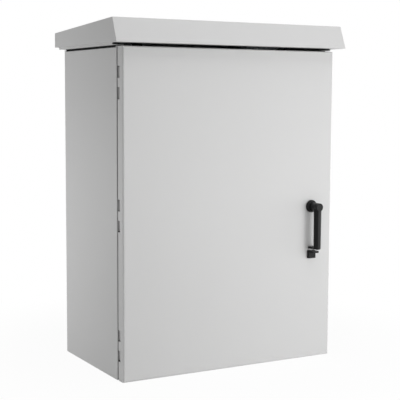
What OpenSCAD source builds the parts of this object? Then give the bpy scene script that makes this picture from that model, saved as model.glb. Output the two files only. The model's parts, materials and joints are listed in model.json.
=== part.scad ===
// Outdoor signal controller cabinet with a rain hood, one hinged door and a three point latch.
// Sizes are in millimetres. X runs to the right, Y to the back and Z up.
// The origin is the centre of the body's base.

/* [Body] */
// Width of the body across its sides
body_w = 600; // [570:5:720]
// Height of the body without the hood
body_h = 800; // [760:5:960]
// Depth of the body without the door
body_d = 330; // [312:1:400]
// Sheet thickness of the body
body_sheet = 1.5; // [1.2:0.1:2.2]
// Outer bend radius of the rear edges
rear_bend_r = 8; // [4:0.5:9]
// Outer bend radius of the front edges
front_bend_r = 2; // [1.8:0.1:2.5]
// Width of the front return flange, out to the sealing lip
flange_w = 22; // [21:0.5:26]
// Width of the black edge seal on the front flange
seal_w = 5; // [3:0.25:5]
// Thickness of the edge seal
seal_t = 0.7; // [0.6:0.1:1.2]
// Diameter of the four wall holes in the rear
wall_hole_d = 10; // [8:0.5:12]
// Distance of the wall holes from the body's sides
wall_hole_side = 20; // [16:1:24]
// Distance of the wall holes from the body's top and bottom
wall_hole_end = 30; // [24:1:36]

/* [Door] */
// Depth of the door pan
door_d = 28; // [28:0.5:40]
// Sheet thickness of the door
door_sheet = 2; // [1.5:0.1:2.5]
// Open gap between the door's rear edge and the body
door_gap = 6; // [5.5:0.25:8]
// How much lower the door's top is than the body's top
door_end = 1.25; // [1:0.25:4]
// Height of the door's bottom above the body's base
door_foot = 0.5; // [0.25:0.25:4]
// Outer bend radius of the door's front edges
door_bend_r = 5; // [3:0.25:6]
// Outer radius of the bend along the door's lower edge
door_foot_r = 2; // [1:0.25:5]
// Width of the foam gasket
gasket_w = 14; // [10:1:16]
// Thickness of the foam gasket
gasket_t = 10; // [8:0.5:12]
// Width of each door stiffener
stiffener_w = 36; // [24:1:44]
// Depth of each door stiffener
stiffener_d = 14; // [10:1:16]
// Sheet thickness of the stiffeners
stiffener_sheet = 1.5; // [1:0.1:2]
// Distance of the stiffener ends from the body's ends
stiffener_end = 60; // [50:1:90]
// Distance of the left stiffener's centre from the body's left side
stiffener_side = 80; // [75:1:100]
// Distance of the right stiffener's centre from the handle's axis
stiffener_from_handle = 76; // [66:1:90]
// Width of the document pocket
pocket_w = 260; // [200:5:275]
// Height of the document pocket
pocket_h = 200; // [150:5:240]
// Depth of the document pocket
pocket_d = 36; // [24:1:40]
// Sheet thickness of the document pocket
pocket_sheet = 1.5; // [1:0.1:2]
// Height of the pocket's bottom above the base
pocket_z = 110; // [90:5:140]

/* [Hinges] */
// Diameter of the hinge pins
pin_d = 6; // [5:0.25:6.5]
// Diameter of the hinge knuckles
knuckle_d = 10; // [9.5:0.25:11]
// Height of each frame knuckle
frame_knuckle_h = 26; // [20:0.5:30]
// Height of the door knuckle
door_knuckle_h = 22; // [16:0.5:26]
// Distance of the outer hinges from the body's ends
hinge_end = 86; // [70:1:110]
// Distance of the hinge axis ahead of the door's rear edge
hinge_back = 5.5; // [5:0.25:6.5]
// Thickness of the hinge leaves
leaf_t = 1.5; // [1.2:0.1:2]
// Width of the frame leaf
leaf_w = 12.5; // [9:0.5:13]
// Distance of the frame leaf's ears, which lie over the edge seal, from the body's side
ear_in = 3; // [2.5:0.25:5]

/* [Rain hood] */
// Overhang of the hood at each side
hood_side = 24.5; // [15:0.5:35]
// Overhang of the hood ahead of the door
hood_front = 20; // [15:0.5:40]
// How far the front skirt leans out at its lower edge
hood_lean = 23.5; // [10:0.5:30]
// Air gap between the body's top and the hood
hood_gap = 6.5; // [4:0.25:10]
// Air gap between the body's top and the drip lips under the hood's sides
lip_gap = 1.5; // [1:0.25:3]
// How far the drip lips stand in from the hood's sides
lip_in = 11.5; // [8:0.5:13]
// Overlap of the drip lips' foot over the body's top
lip_lap = 18; // [17:1:24]
// How far the drip lips reach ahead of the body's front
lip_ahead = 3; // [1:0.5:10]
// Height of the hood at the front
hood_front_h = 57.5; // [52:0.5:80]
// Height of the hood at the rear
hood_rear_h = 37; // [36:0.5:50]
// Sheet thickness of the hood
hood_sheet = 1.5; // [1.2:0.1:2.5]
// Width of the inward return around the hood's lower edge
hood_return = 34; // [28:1:40]
// Distance of the hood rails from the middle
rail_x = 210; // [180:5:230]
// Width of each hood rail
rail_w = 40; // [30:1:50]
// Height of each hood rail
rail_h = 16; // [10:1:20]
// Sheet thickness of the hood rails
rail_sheet = 2.5; // [2:0.1:3]
// Overlap of the hood rails on the hood's returns
rail_lap = 20; // [12:1:24]
// Diameter of the hood spacers
spacer_d = 24; // [20:1:30]
// Width of the rubber strip on the body's top under each drip lip
edge_strip_w = 14; // [8:0.5:16]
// Thickness of the strips' leg over the body's side
edge_leg_t = 1; // [0.6:0.1:1.5]
// Height of the strips' leg over the body's side
edge_leg_h = 4; // [2:0.5:6]
// Distance of the rubber strips' front ends from the body's front
edge_strip_front = 3; // [3:0.5:12]
// Distance of the rubber strips' rear ends from the body's rear
edge_strip_rear = 20; // [14:1:30]
// Thread diameter of the hood bolts
hood_bolt_d = 8; // [6:0.5:10]
// Distance of the hood bolts ahead of and behind the middle
hood_bolt_y = 90; // [70:5:110]

/* [Handle] */
// Distance of the handle's axis from the door's right side
handle_inset = 63; // [62:0.5:70]
// Diameter of the rosette
rosette_d = 32; // [28:0.5:36]
// Thickness of the rosette
rosette_t = 6; // [4:0.25:7]
// Diameter of the rosette's raised hub
hub_d = 25; // [23:0.25:27]
// Height of the rosette's raised hub
hub_t = 4; // [2:0.25:5]
// Diameter of the rosette's shank through the door
shank_d = 22; // [20:0.25:23]
// Diameter of the lever's neck inside the rosette
neck_d = 15; // [14:0.25:16]
// Width of the square spindle
spindle_w = 8; // [7:0.25:8.5]
// Distance of the grip's axis from the door's face
lever_reach = 30; // [28:0.5:40]
// Diameter of the grip at its upper end
grip_d = 20; // [17:0.25:21]
// Diameter of the grip at its lower end
grip_end_d = 18.6; // [16:0.2:19.5]
// Length of the lever from its axis to its lower end
lever_l = 110; // [95:1:125]
// Diameter of the lever's round head
head_d = 21; // [20:0.25:22]
// Width of the broken edge round the head's front
head_edge = 1.2; // [0.6:0.1:2]
// Width of both padlock lugs
lug_w = 17; // [16:0.25:20]
// Thickness of the lever's padlock lug
lug_t = 6; // [4:0.25:8]
// Distance of the lever's lug from the door's face
lug_off = 3; // [2:0.25:4]
// Space between the lever's lug and the bracket's lug
lug_space = 5; // [3:0.25:8]
// Diameter of the padlock holes
padlock_hole_d = 9; // [7:0.25:9]
// Distance of the padlock holes from the door's face
padlock_y = 15.2; // [14.8:0.1:15.4]
// Width of the padlock bracket
bracket_w = 20; // [18:0.5:24]
// Height of the padlock bracket
bracket_h = 20.5; // [15:0.5:30]
// Depth of the padlock bracket's foot
bracket_d = 10; // [6:0.25:10]
// Thickness of the bracket's lug
bracket_lug_t = 5; // [4:0.25:7]
// Reach of the bracket's lug from the door's face
bracket_reach = 26; // [22:0.5:28]

/* [Latch] */
// Module of the pinion and the racks
gear_module = 2; // [1.8:0.05:2]
// Width of the square latch rods
rod_w = 8; // [6:0.25:8]
// Diameter of the rod rollers
roller_d = 16; // [14:0.25:17]
// Width of the rod rollers
roller_w = 9; // [7:0.25:9]
// Diameter of the roller spigots
spigot_d = 6; // [4:0.25:7]
// Distance that the rollers stop short of the flange's edge
roller_short = 3; // [2:0.25:6]
// Wall thickness of the latch case
case_wall = 2.5; // [2:0.1:3]
// Half height of the latch case
case_half_h = 37; // [36:0.5:45]
// Thickness of the latch cover
cover_t = 2.5; // [2:0.1:4]
// Distance of the rod guides from the rollers' axes
guide_at = 75.5; // [66:0.5:110]
// Height of each rod guide
guide_h = 14; // [10:1:20]

/* [Cable entry] */
// Width of the cable opening in the base
gland_w = 300; // [260:5:340]
// Depth of the cable opening in the base
gland_d = 110; // [100:2:120]
// Overlap of the gland plate round the opening
gland_lap = 22; // [18:1:26]
// Clearance between the gland plate and the rear bends
gland_clear = 4; // [2:0.5:8]
// Thickness of the gland plate
gland_t = 2; // [1.5:0.1:3]
// Thickness of the gland plate's gasket
gland_seal_t = 3; // [2.9:0.1:5]
// Thread diameter of the gland plate's screws
gland_screw_d = 5; // [4:0.25:6]
// Diameter of the holes for the cable grommets
grommet_d = 40; // [30:1:44]
// Spacing of the cable grommets
grommet_pitch = 68; // [60:1:72]
// Height of the grommets' membrane above the plate's underside
grommet_h = 18; // [12:0.5:24]
// Radius of the grommets' flat membrane
grommet_tip = 7; // [5:0.25:9]
// Thickness of the grommets' membrane
grommet_skin = 2; // [1.5:0.1:3]
// Wall of the grommets in the plate's holes
grommet_wall = 5; // [4:0.25:6]
// Width of the grommets' lips round the holes
grommet_lip = 3; // [2:0.25:4]

/* [Mounting panel] */
// Distance of the panel's edges from the body's sides
panel_side = 40; // [36:1:50]
// Distance of the panel's edges from the body's ends
panel_end = 40; // [36:1:60]
// Thickness of the panel
panel_t = 2.5; // [2:0.1:3]
// Distance of the panel from the rear wall
panel_stand = 20; // [12:1:25]
// Thread diameter of the panel studs
stud_d = 8; // [6:0.5:10]
// Distance of the studs from the panel's edges
stud_in = 20; // [14:1:24]

/* [Shelf and controller] */
// Height of the shelf's top above the base
shelf_z = 450; // [445:1:470]
// Depth of the shelf
shelf_d = 200; // [195:1:215]
// Sheet thickness of the shelf
shelf_sheet = 2; // [1.5:0.1:2.5]
// Height of the shelf's side gussets at the rear
shelf_drop = 18; // [10:1:18]
// Height of the shelf's front lip
shelf_lip = 14; // [10:1:18]
// Height of the shelf's upright rear flange
shelf_up = 30; // [20:1:40]
// Distance of the shelf's sides from the panel's edges
shelf_side = 12; // [8:1:14]
// Width of the controller
controller_w = 290; // [260:5:300]
// Height of the controller
controller_h = 190; // [170:5:210]
// Depth of the controller's case
controller_d = 170; // [140:5:175]
// Sheet thickness of the controller's and the monitor's case
unit_sheet = 1.5; // [1:0.1:2]
// Thickness of the controller's and the monitor's front plate
unit_front_t = 5; // [4:0.25:6]
// Overlap of the front plates beyond their case
unit_lap = 4; // [2:0.5:5]
// Width of the display
display_w = 150; // [110:5:160]
// Height of the display
display_h = 56; // [40:2:64]
// Width and height of the keypad
keypad_w = 76; // [60:1:80]
// Diameter of the controller's round connectors
connector_d = 28; // [22:1:32]
// Length of the connectors
connector_l = 14; // [10:1:18]
// Spacing of the connectors
connector_pitch = 56; // [44:1:60]
// Distance of the connectors from the controller's lower left corner
connector_z = 44; // [30:1:50]
// Width of the monitor unit
monitor_w = 110; // [90:5:115]
// Height of the monitor unit
monitor_h = 180; // [160:5:210]
// Depth of the monitor's case
monitor_d = 150; // [120:5:175]
// Distance of the pull bar from the monitor's left side
pull_x = 12; // [8:0.5:20]
// Distance of the pull bar from the monitor's underside
pull_z = 20; // [10:1:40]
// Height of the pull bar
pull_h = 50; // [40:1:80]
// Width of the pull bar
pull_w = 8; // [6:0.5:10]
// Reach of the pull bar in front of the monitor's front plate
pull_reach = 28; // [24:1:32]

/* [Load rack] */
// Height of the rack's floor above the base
rack_z = 246; // [242:1:252]
// Inside height of the rack
rack_h = 150; // [140:1:156]
// Depth of the rack
rack_d = 112; // [90:2:120]
// Sheet thickness of the rack
rack_sheet = 2; // [1.5:0.1:2.5]
// Spacing of the modules
module_pitch = 54; // [50:0.5:60]
// Width of a module
module_w = 44; // [36:0.5:46]
// Height of a module
module_h = 136; // [120:1:138]
// Depth of a module
module_d = 138; // [125:1:145]
// Height of the transfer relay
relay_h = 84; // [60:1:100]
// Depth of the transfer relay
relay_d = 74; // [60:1:90]

/* [Power and terminals] */
// Height of the rail's middle above the base
din_z = 180; // [175:1:186]
// Length of the rail
din_l = 190; // [180:1:200]
// Height of the rail over its two flanges
din_h = 35; // [30:0.5:36]
// Height of the rail's channel
din_channel = 27; // [24:0.5:28]
// Sheet thickness of the rail
din_sheet = 1; // [0.8:0.1:1.5]
// Width of one breaker pole
pole_w = 17.6; // [16:0.1:18]
// Height of a breaker
breaker_h = 84; // [74:1:90]
// Depth of a breaker's body in front of the rail
breaker_d = 44; // [38:1:50]
// Depth of a breaker's nose
nose_d = 18; // [16:0.5:22]
// Height of a breaker's nose
nose_h = 45; // [36:1:50]
// Angle of a toggle above or below the level
toggle_tilt = 25; // [15:1:28]
// Length of a toggle's arm from its pivot
toggle_l = 17; // [14:0.5:22]
// Width of the surge arrester
arrester_w = 54; // [45:1:58]
// Length of the terminal strips
strip_l = 230; // [200:2:240]
// Height of the terminal strips
strip_h = 34; // [28:1:38]
// Depth of the terminal strips
strip_d = 20; // [14:1:26]
// Height of the barriers between the terminals
barrier_d = 8; // [4:0.5:12]
// Length of the ground and neutral bars
bus_l = 170; // [140:2:190]
// Height of the ground and neutral bars
bus_h = 14; // [10:0.5:16]
// Thickness of the ground and neutral bars
bus_t = 6; // [4:0.25:8]
// Distance of the bars from the panel
bus_off = 22; // [14:1:30]
// Height of the bars' middle above the base
bus_z = 84; // [78:1:92]
// Diameter of the neutral bar's insulators
insulator_d = 18; // [12:0.5:22]
// Distance of the insulators from the neutral bar's ends
insulator_in = 17; // [14:0.5:30]
// Length of the cabinet lamp
lamp_l = 280; // [200:5:320]
// Distance of the lamp behind the body's front
lamp_y = 40; // [32:1:46]
// Width of the cabinet lamp
lamp_w = 34; // [26:1:40]
// Height of the cabinet lamp
lamp_h = 20; // [14:1:26]

/* [Fits] */
// Radial clearance of the hinge pins in the frame knuckles
pin_fit = 0.02; // [0.01:0.01:0.05]
// Radial clearance of the hinge pins in the door knuckles
door_pin_fit = 0.05; // [0.03:0.01:0.1]
// End gap between the knuckles of a hinge
knuckle_gap = 0.5; // [0.3:0.05:0.8]
// Gap between the knuckles and the door's side flange
knuckle_clear = 0.5; // [0.3:0.05:0.8]
// Room round the knuckles in the door's notches
notch_clear = 1; // [0.8:0.1:1.5]
// Gap between the sealing lip and the gasket
lip_clear = 0.3; // [0.2:0.05:0.5]
// Radial clearance of the lever's neck in the rosette
neck_fit = 0.05; // [0.03:0.01:0.1]
// Clearance of the spindle in its square holes
spindle_fit = 0.05; // [0.03:0.01:0.1]
// Gap between the lever's head and the rosette
head_clear = 0.3; // [0.2:0.05:0.5]
// Clearance of the rods in their guides
rod_fit = 0.3; // [0.2:0.05:0.4]
// Backlash between the pinion and the racks
backlash = 0.15; // [0.12:0.01:0.25]
// Radial clearance of the rollers and the toggles on their pins
roller_fit = 0.05; // [0.03:0.01:0.1]
// Side gap of the rollers and the toggles
side_clear = 0.3; // [0.2:0.05:0.4]
// Clearance of bolts and screws in their holes
bolt_fit = 0.25; // [0.1:0.05:0.4]
// Clearance of display and keypad in their recesses
insert_fit = 0.1; // [0.05:0.01:0.2]

/* [Hidden] */
$fn = 48;
s = body_sheet;
hw = body_w / 2;
y_front = -body_d / 2;
y_rear = body_d / 2;
y_back = y_rear - s;
door_y1 = y_front - door_gap;
door_y0 = door_y1 - door_d;
door_in = door_y0 + door_sheet;
lip_x = hw - flange_w;
lip_tip = door_in + gasket_t + lip_clear;
open_x = lip_x - s;
seal_mid = flange_w + s / 2;

hinge_x = -hw + door_sheet + knuckle_d / 2 + knuckle_clear;
hinge_y = door_y1 - hinge_back;
hinge_half = door_knuckle_h / 2 + knuckle_gap + frame_knuckle_h;
hinge_zs = [hinge_end, body_h / 2, body_h - hinge_end];
web_off = 0.5;

hx = hw - handle_inset;
hz = body_h / 2;
hub_face = rosette_t + hub_t;
shank_in = 6;
head_face = lever_reach + grip_d / 2 + 0.4;
grip_top = 1.5;

pressure = 20;
gear_teeth = 12;
pitch_r = gear_module * gear_teeth / 2;
base_r = pitch_r * cos(pressure);
tip_r = pitch_r + gear_module;
root_r = pitch_r - 0.9 * gear_module;
pitch = PI * gear_module;
rack_add = 0.65 * gear_module;
rack_ded = 1.25 * gear_module;
rod_u0 = pitch_r + rack_ded;
rod_u1 = rod_u0 + rod_w;
rod_y = y_front + s + roller_d / 2 + 0.5;
roller_v = hz - flange_w - s - roller_short - roller_d / 2;
guide_v = roller_v - guide_at;
spigot_u = rod_u0 - roller_w - 2 * side_clear;
case_in = rod_u1 + rod_fit;
case_out = case_in + case_wall;
case_back = rod_y + rod_w / 2 + 4;

hood_x = hw + hood_side;
hood_y0 = door_y0 - hood_front;
hood_z0 = body_h + hood_gap;
hood_lip_x = hood_x - lip_in;
hood_lip_z = body_h + lip_gap;
hood_side_view = [
    [hood_y0, hood_z0],
    [hood_y0 + hood_lean, hood_z0 + hood_front_h],
    [y_rear, hood_z0 + hood_rear_h],
    [y_rear, hood_z0]
];
rail_z = hood_z0 + hood_sheet;

panel_x = hw - panel_side;
panel_y1 = y_back - panel_stand;
panel_y0 = panel_y1 - panel_t;
stud_x = panel_x - stud_in;
stud_zs = [panel_end + stud_in, body_h - panel_end - stud_in];
nut_h = 0.8 * stud_d;

shelf_x = panel_x - shelf_side;
shelf_y0 = panel_y0 - shelf_d;
unit_y0 = shelf_y0 + 6;
unit_face = unit_y0 - unit_front_t;
controller_x = [-shelf_x + 12, -shelf_x + 12 + controller_w];
monitor_x = [shelf_x - 12 - monitor_w, shelf_x - 12];
key_pitch = keypad_w / 4;
pull_xs = [monitor_x[0] + pull_x, monitor_x[0] + pull_x + pull_w];
pull_y = unit_face - pull_reach;
pull_zs = [shelf_z + pull_z, shelf_z + pull_z + pull_h];

rack_slots = 6;
rack_x = rack_slots * module_pitch / 2;
rack_back = panel_y0 - rack_sheet;
rack_floor = rack_z + rack_sheet;

din_deep = 7.5;
channel_out = din_channel / 2;
channel_in = channel_out - din_sheet;
din_y = panel_y0 - din_deep;
din_x0 = -panel_x + 24;
breaker_x0 = din_x0 + 10;
nose_y = din_y - breaker_d - nose_d;
pivot_y = nose_y + 7;
barrel_r = 6;
strip_x1 = panel_x - 24;
strip_zs = [din_z + 20, din_z - 28];
barrier_n = 12;

gland_y = y_rear - rear_bend_r - gland_clear - gland_lap - gland_d / 2;
gland_z = s + gland_seal_t;
grommet_r = grommet_d / 2;
grommet_foot = 0.4 - gland_seal_t;
gland_screw_x = gland_w / 2 + gland_lap / 2;
gland_screw_y = gland_d / 2 + gland_lap / 2;

// A box given by its two ends along each axis
module block(x, y, z) {
    translate([x[0], y[0], z[0]])
        cube([x[1] - x[0], y[1] - y[0], z[1] - z[0]]);
}

// Round bars along each axis
module bar_x(r, x, y, z) {
    translate([x[0], y, z])
        rotate([0, 90, 0])
            cylinder(r = r, h = x[1] - x[0]);
}

module bar_y(r, x, y, z) {
    translate([x, y[0], z])
        rotate([-90, 0, 0])
            cylinder(r = r, h = y[1] - y[0]);
}

module bar_z(r, x, y, z) {
    translate([x, y, z[0]])
        cylinder(r = r, h = z[1] - z[0]);
}

// A hexagon along Y, given across its flats
module hex_y(af, x, y, z) {
    translate([x, y[0], z])
        rotate([-90, 0, 0])
            cylinder(d = af / cos(30), h = y[1] - y[0], $fn = 6);
}

// A hexagon along Z, given across its flats
module hex_z(af, x, y, z) {
    translate([x, y, z[0]])
        cylinder(d = af / cos(30), h = z[1] - z[0], $fn = 6);
}

// A flat outline drawn in X and Z, given depth along Y
module plate_xz(y) {
    translate([0, y[1], 0])
        rotate([90, 0, 0])
            linear_extrude(y[1] - y[0])
                children();
}

// A flat outline drawn in Y and Z, given width along X
module plate_yz(x) {
    translate([x[0], 0, 0])
        rotate([90, 0, 90])
            linear_extrude(x[1] - x[0])
                children();
}

// A rectangle with its own radius at each corner: low low, high low, high high, low high
module round_rect(u, v, r) {
    difference() {
        translate([u[0], v[0]])
            square([u[1] - u[0], v[1] - v[0]]);
        for (i = [0 : 3])
            if (r[i] > 0)
                translate([i == 1 || i == 2 ? u[1] : u[0], i >= 2 ? v[1] : v[0]])
                    mirror([i == 1 || i == 2 ? 1 : 0, 0])
                        mirror([0, i >= 2 ? 1 : 0])
                            difference() {
                                translate([-1, -1])
                                    square(r[i] + 1);
                                translate([r[i], r[i]])
                                    circle(r[i]);
                            }
    }
}

// A folded sheet block with bends at its four front and four rear edges
module folded_block(x, y, z, front_r, rear_r) {
    intersection() {
        translate([0, 0, z[0]])
            linear_extrude(z[1] - z[0])
                round_rect(x, y, [front_r, front_r, rear_r, rear_r]);
        plate_yz(x)
            round_rect(y, z, [front_r, rear_r, rear_r, front_r]);
    }
}

// A frame of the given width round an opening, seen from the front
module frame_ring(x, y, z, w) {
    difference() {
        block(x, y, z);
        block([x[0] + w, x[1] - w], [y[0] - 1, y[1] + 1], [z[0] + w, z[1] - w]);
    }
}

module enclosure_body() {
    color("gainsboro")
        difference() {
            union() {
                difference() {
                    folded_block([-hw, hw], [y_front, y_rear], [0, body_h], front_bend_r, rear_bend_r);
                    folded_block([-hw + s, hw - s], [y_front + s, y_back], [s, body_h - s],
                        front_bend_r - s + 0.5, rear_bend_r - s);
                    block([-open_x, open_x], [y_front - 1, y_front + s + 1],
                        [flange_w + s, body_h - flange_w - s]);
                }
                frame_ring([-lip_x, lip_x], [lip_tip, y_front + s], [flange_w, body_h - flange_w], s);
                for (x = [-stud_x, stud_x])
                    for (z = stud_zs) {
                        bar_y(stud_d / 2 + 3, x, [panel_y1, y_back + s / 2], z);
                        bar_y(stud_d / 2, x, [panel_y0 - nut_h - 3, y_back], z);
                    }
            }
            for (x = [-hw + wall_hole_side, hw - wall_hole_side])
                for (z = [wall_hole_end, body_h - wall_hole_end])
                    bar_y(wall_hole_d / 2, x, [y_back - 1, y_rear + 1], z);
            for (x = [-rail_x, rail_x])
                for (y = [-hood_bolt_y, hood_bolt_y])
                    bar_z(hood_bolt_d / 2 + bolt_fit, x, y, [body_h - s - 1, body_h + 1]);
            block([-gland_w / 2, gland_w / 2], [gland_y - gland_d / 2, gland_y + gland_d / 2], [-1, s + 1]);
            gland_holes([-1, s + 1]);
        }
}

// The black edge seal that shows in the gap round the door
module frame_seal() {
    edge = front_bend_r + 0.1;
    color("black")
        frame_ring([-hw + edge, hw - edge], [y_front - seal_t, y_front], [edge, body_h - edge], seal_w);
}

// Holes for the gland plate's screws
module gland_holes(z) {
    for (x = [-gland_screw_x, 0, gland_screw_x])
        for (y = [-gland_screw_y, gland_screw_y])
            bar_z(gland_screw_d / 2 + bolt_fit, x, gland_y + y, z);
}

module frame_leaf(zc) {
    color("silver")
        difference() {
            union() {
                block([hinge_x + web_off, hinge_x + web_off + leaf_w], [y_front - leaf_t, y_front],
                    [zc - hinge_half, zc + hinge_half]);
                for (side = [-1, 1]) {
                    mid = zc + side * (hinge_half - frame_knuckle_h / 2);
                    half = frame_knuckle_h / 2;
                    bar_z(knuckle_d / 2, hinge_x, hinge_y, [mid - half, mid + half]);
                    block([hinge_x + web_off, hinge_x + web_off + 4], [hinge_y, y_front - leaf_t / 2],
                        [mid - half, mid + half]);
                    block([-hw + ear_in, hinge_x + web_off + 1], [y_front - leaf_t, y_front - seal_t],
                        [mid - half, mid + half]);
                }
            }
            bar_z(pin_d / 2 + pin_fit, hinge_x, hinge_y, [zc - hinge_half - 1, zc + hinge_half + 1]);
        }
}

module hinge_frame_leaves() {
    for (zc = hinge_zs)
        frame_leaf(zc);
}

module hinge_pins() {
    color("silver")
        for (zc = hinge_zs) {
            bar_z(pin_d / 2, hinge_x, hinge_y, [zc - hinge_half, zc + hinge_half + 1]);
            bar_z(pin_d / 2 + 1, hinge_x, hinge_y, [zc + hinge_half, zc + hinge_half + 2]);
        }
}

// The corner points of a clockwise outline moved inward by t
function toward(a, b) = (b - a) / norm(b - a);
function inner_side(a, b) = [toward(a, b).y, -toward(a, b).x];
function meet(p, d, q, e) = p + d * (cross(q - p, e) / cross(d, e));
function inset(pts, t) = [
    for (i = [0 : len(pts) - 1])
        let (a = pts[(i + len(pts) - 1) % len(pts)], b = pts[i], c = pts[(i + 1) % len(pts)])
            meet(b + t * inner_side(a, b), toward(a, b), b + t * inner_side(b, c), toward(b, c))
];

// A drip lip hangs under each side, behind the door, which keeps its room to swing
module rain_hood() {
    color("gainsboro") {
        difference() {
            plate_yz([-hood_x, hood_x])
                polygon(hood_side_view);
            plate_yz([-hood_x + hood_sheet, hood_x - hood_sheet])
                polygon(inset(hood_side_view, hood_sheet));
            block([-hood_lip_x + hood_sheet, hood_lip_x - hood_sheet],
                [hood_y0 + hood_return, y_rear - hood_return], [hood_z0 - 1, hood_z0 + hood_sheet + 1]);
        }
        for (x = [[-hood_lip_x, -hood_lip_x + hood_sheet], [hood_lip_x - hood_sheet, hood_lip_x]])
            block(x, [y_front - lip_ahead, y_rear], [hood_lip_z, hood_z0 + hood_sheet]);
        for (x = [[-hood_lip_x, -hw + lip_lap], [hw - lip_lap, hood_lip_x]])
            block(x, [y_front - lip_ahead, y_rear], [hood_lip_z, hood_lip_z + hood_sheet]);
    }
}

module hood_rails() {
    color("silver")
        for (x = [-rail_x, rail_x])
            difference() {
                block([x - rail_w / 2, x + rail_w / 2],
                    [hood_y0 + hood_return - rail_lap, y_rear - hood_return + rail_lap],
                    [rail_z, rail_z + rail_h]);
                block([x - rail_w / 2 + rail_sheet, x + rail_w / 2 - rail_sheet], [hood_y0, y_rear],
                    [rail_z + rail_sheet, rail_z + rail_h + 1]);
                for (y = [-hood_bolt_y, hood_bolt_y])
                    bar_z(hood_bolt_d / 2 + bolt_fit, x, y, [rail_z - 1, rail_z + rail_sheet + 1]);
            }
}

// Four rubber discs carry the rails, and a rubber edge strip closes the gap under each drip lip
module hood_spacers() {
    strip_y = [y_front + edge_strip_front, y_rear - edge_strip_rear];
    color("dimgray") {
        for (x = [-rail_x, rail_x])
            for (y = [-hood_bolt_y, hood_bolt_y])
                difference() {
                    bar_z(spacer_d / 2, x, y, [body_h, rail_z]);
                    bar_z(hood_bolt_d / 2 + bolt_fit, x, y, [body_h - 1, rail_z + 1]);
                }
        for (x = [[-hw - edge_leg_t, -hw + edge_strip_w], [hw - edge_strip_w, hw + edge_leg_t]])
            block(x, strip_y, [body_h, hood_lip_z]);
        for (x = [[-hw - edge_leg_t, -hw], [hw, hw + edge_leg_t]])
            block(x, strip_y, [body_h - edge_leg_h, hood_lip_z]);
    }
}

// Each bolt has its head inside the body and its nut in the rail
module hood_bolts() {
    color("silver")
        for (x = [-rail_x, rail_x])
            for (y = [-hood_bolt_y, hood_bolt_y]) {
                hex_z(1.6 * hood_bolt_d, x, y, [body_h - s - 0.65 * hood_bolt_d, body_h - s]);
                bar_z(hood_bolt_d / 2, x, y, [body_h - s - 1, rail_z + rail_sheet + 0.8 * hood_bolt_d + 2]);
                hex_z(1.6 * hood_bolt_d, x, y,
                    [rail_z + rail_sheet, rail_z + rail_sheet + 0.8 * hood_bolt_d]);
            }
}

// The gland plate's outline at a height, with its screw holes
module gland_sheet(z) {
    difference() {
        block([-gland_w / 2 - gland_lap, gland_w / 2 + gland_lap],
            [gland_y - gland_d / 2 - gland_lap, gland_y + gland_d / 2 + gland_lap], z);
        gland_holes([z[0] - 1, z[1] + 1]);
    }
}

module gland_plate() {
    color("silver")
        difference() {
            gland_sheet([gland_z, gland_z + gland_t]);
            for (i = [-1.5 : 1.5])
                bar_z(grommet_d / 2, i * grommet_pitch, gland_y, [gland_z - 1, gland_z + gland_t + 1]);
        }
}

module gland_seal() {
    color("dimgray")
        difference() {
            gland_sheet([s, gland_z]);
            block([-gland_w / 2, gland_w / 2], [gland_y - gland_d / 2, gland_y + gland_d / 2],
                [s - 1, gland_z + 1]);
        }
}

module gland_screws() {
    color("silver")
        for (x = [-gland_screw_x, 0, gland_screw_x])
            for (y = [-gland_screw_y, gland_screw_y]) {
                bar_z(gland_screw_d / 2, x, gland_y + y, [0.2, gland_z + gland_t + 1]);
                bar_z(gland_screw_d, x, gland_y + y, [gland_z + gland_t, gland_z + gland_t + 3]);
            }
}

// Rubber grommets with a closed membrane, flush with the base
module cable_grommets() {
    color("dimgray")
        for (i = [-1.5 : 1.5])
            translate([i * grommet_pitch, gland_y, gland_z])
                rotate_extrude()
                    polygon([
                        [0, grommet_h], [0, grommet_h + grommet_skin],
                        [grommet_tip + grommet_skin / 2, grommet_h + grommet_skin],
                        [grommet_r - grommet_wall + grommet_skin / 2, gland_t + grommet_lip],
                        [grommet_r + grommet_lip, gland_t + grommet_lip],
                        [grommet_r + grommet_lip, gland_t], [grommet_r, gland_t], [grommet_r, 0],
                        [grommet_r + grommet_lip, 0], [grommet_r + grommet_lip, grommet_foot],
                        [grommet_r - grommet_wall, grommet_foot],
                        [grommet_r - grommet_wall, grommet_skin], [grommet_tip, grommet_h]
                    ]);
}

module mounting_panel() {
    color("silver")
        difference() {
            block([-panel_x, panel_x], [panel_y0, panel_y1], [panel_end, body_h - panel_end]);
            for (x = [-stud_x, stud_x])
                for (z = stud_zs)
                    bar_y(stud_d / 2 + bolt_fit, x, [panel_y0 - 1, panel_y1 + 1], z);
        }
}

module panel_nuts() {
    color("silver")
        for (x = [-stud_x, stud_x])
            for (z = stud_zs)
                difference() {
                    hex_y(1.6 * stud_d, x, [panel_y0 - nut_h, panel_y0], z);
                    bar_y(stud_d / 2 + bolt_fit, x, [panel_y0 - nut_h - 1, panel_y0 + 1], z);
                }
}

// One folded sheet: the shelf, a rear flange, a front lip and two gussets
module equipment_shelf() {
    color("silver") {
        block([-shelf_x, shelf_x], [shelf_y0, panel_y0], [shelf_z - shelf_sheet, shelf_z]);
        block([-shelf_x, shelf_x], [panel_y0 - shelf_sheet, panel_y0],
            [shelf_z - shelf_sheet, shelf_z + shelf_up]);
        block([-shelf_x, shelf_x], [shelf_y0, shelf_y0 + shelf_sheet], [shelf_z - shelf_lip, shelf_z]);
        for (x = [-shelf_x, shelf_x - shelf_sheet])
            plate_yz([x, x + shelf_sheet])
                polygon([
                    [shelf_y0, shelf_z - shelf_lip], [shelf_y0, shelf_z - shelf_sheet / 2],
                    [panel_y0, shelf_z - shelf_sheet / 2], [panel_y0, shelf_z - shelf_drop - shelf_lip]
                ]);
    }
}

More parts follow.
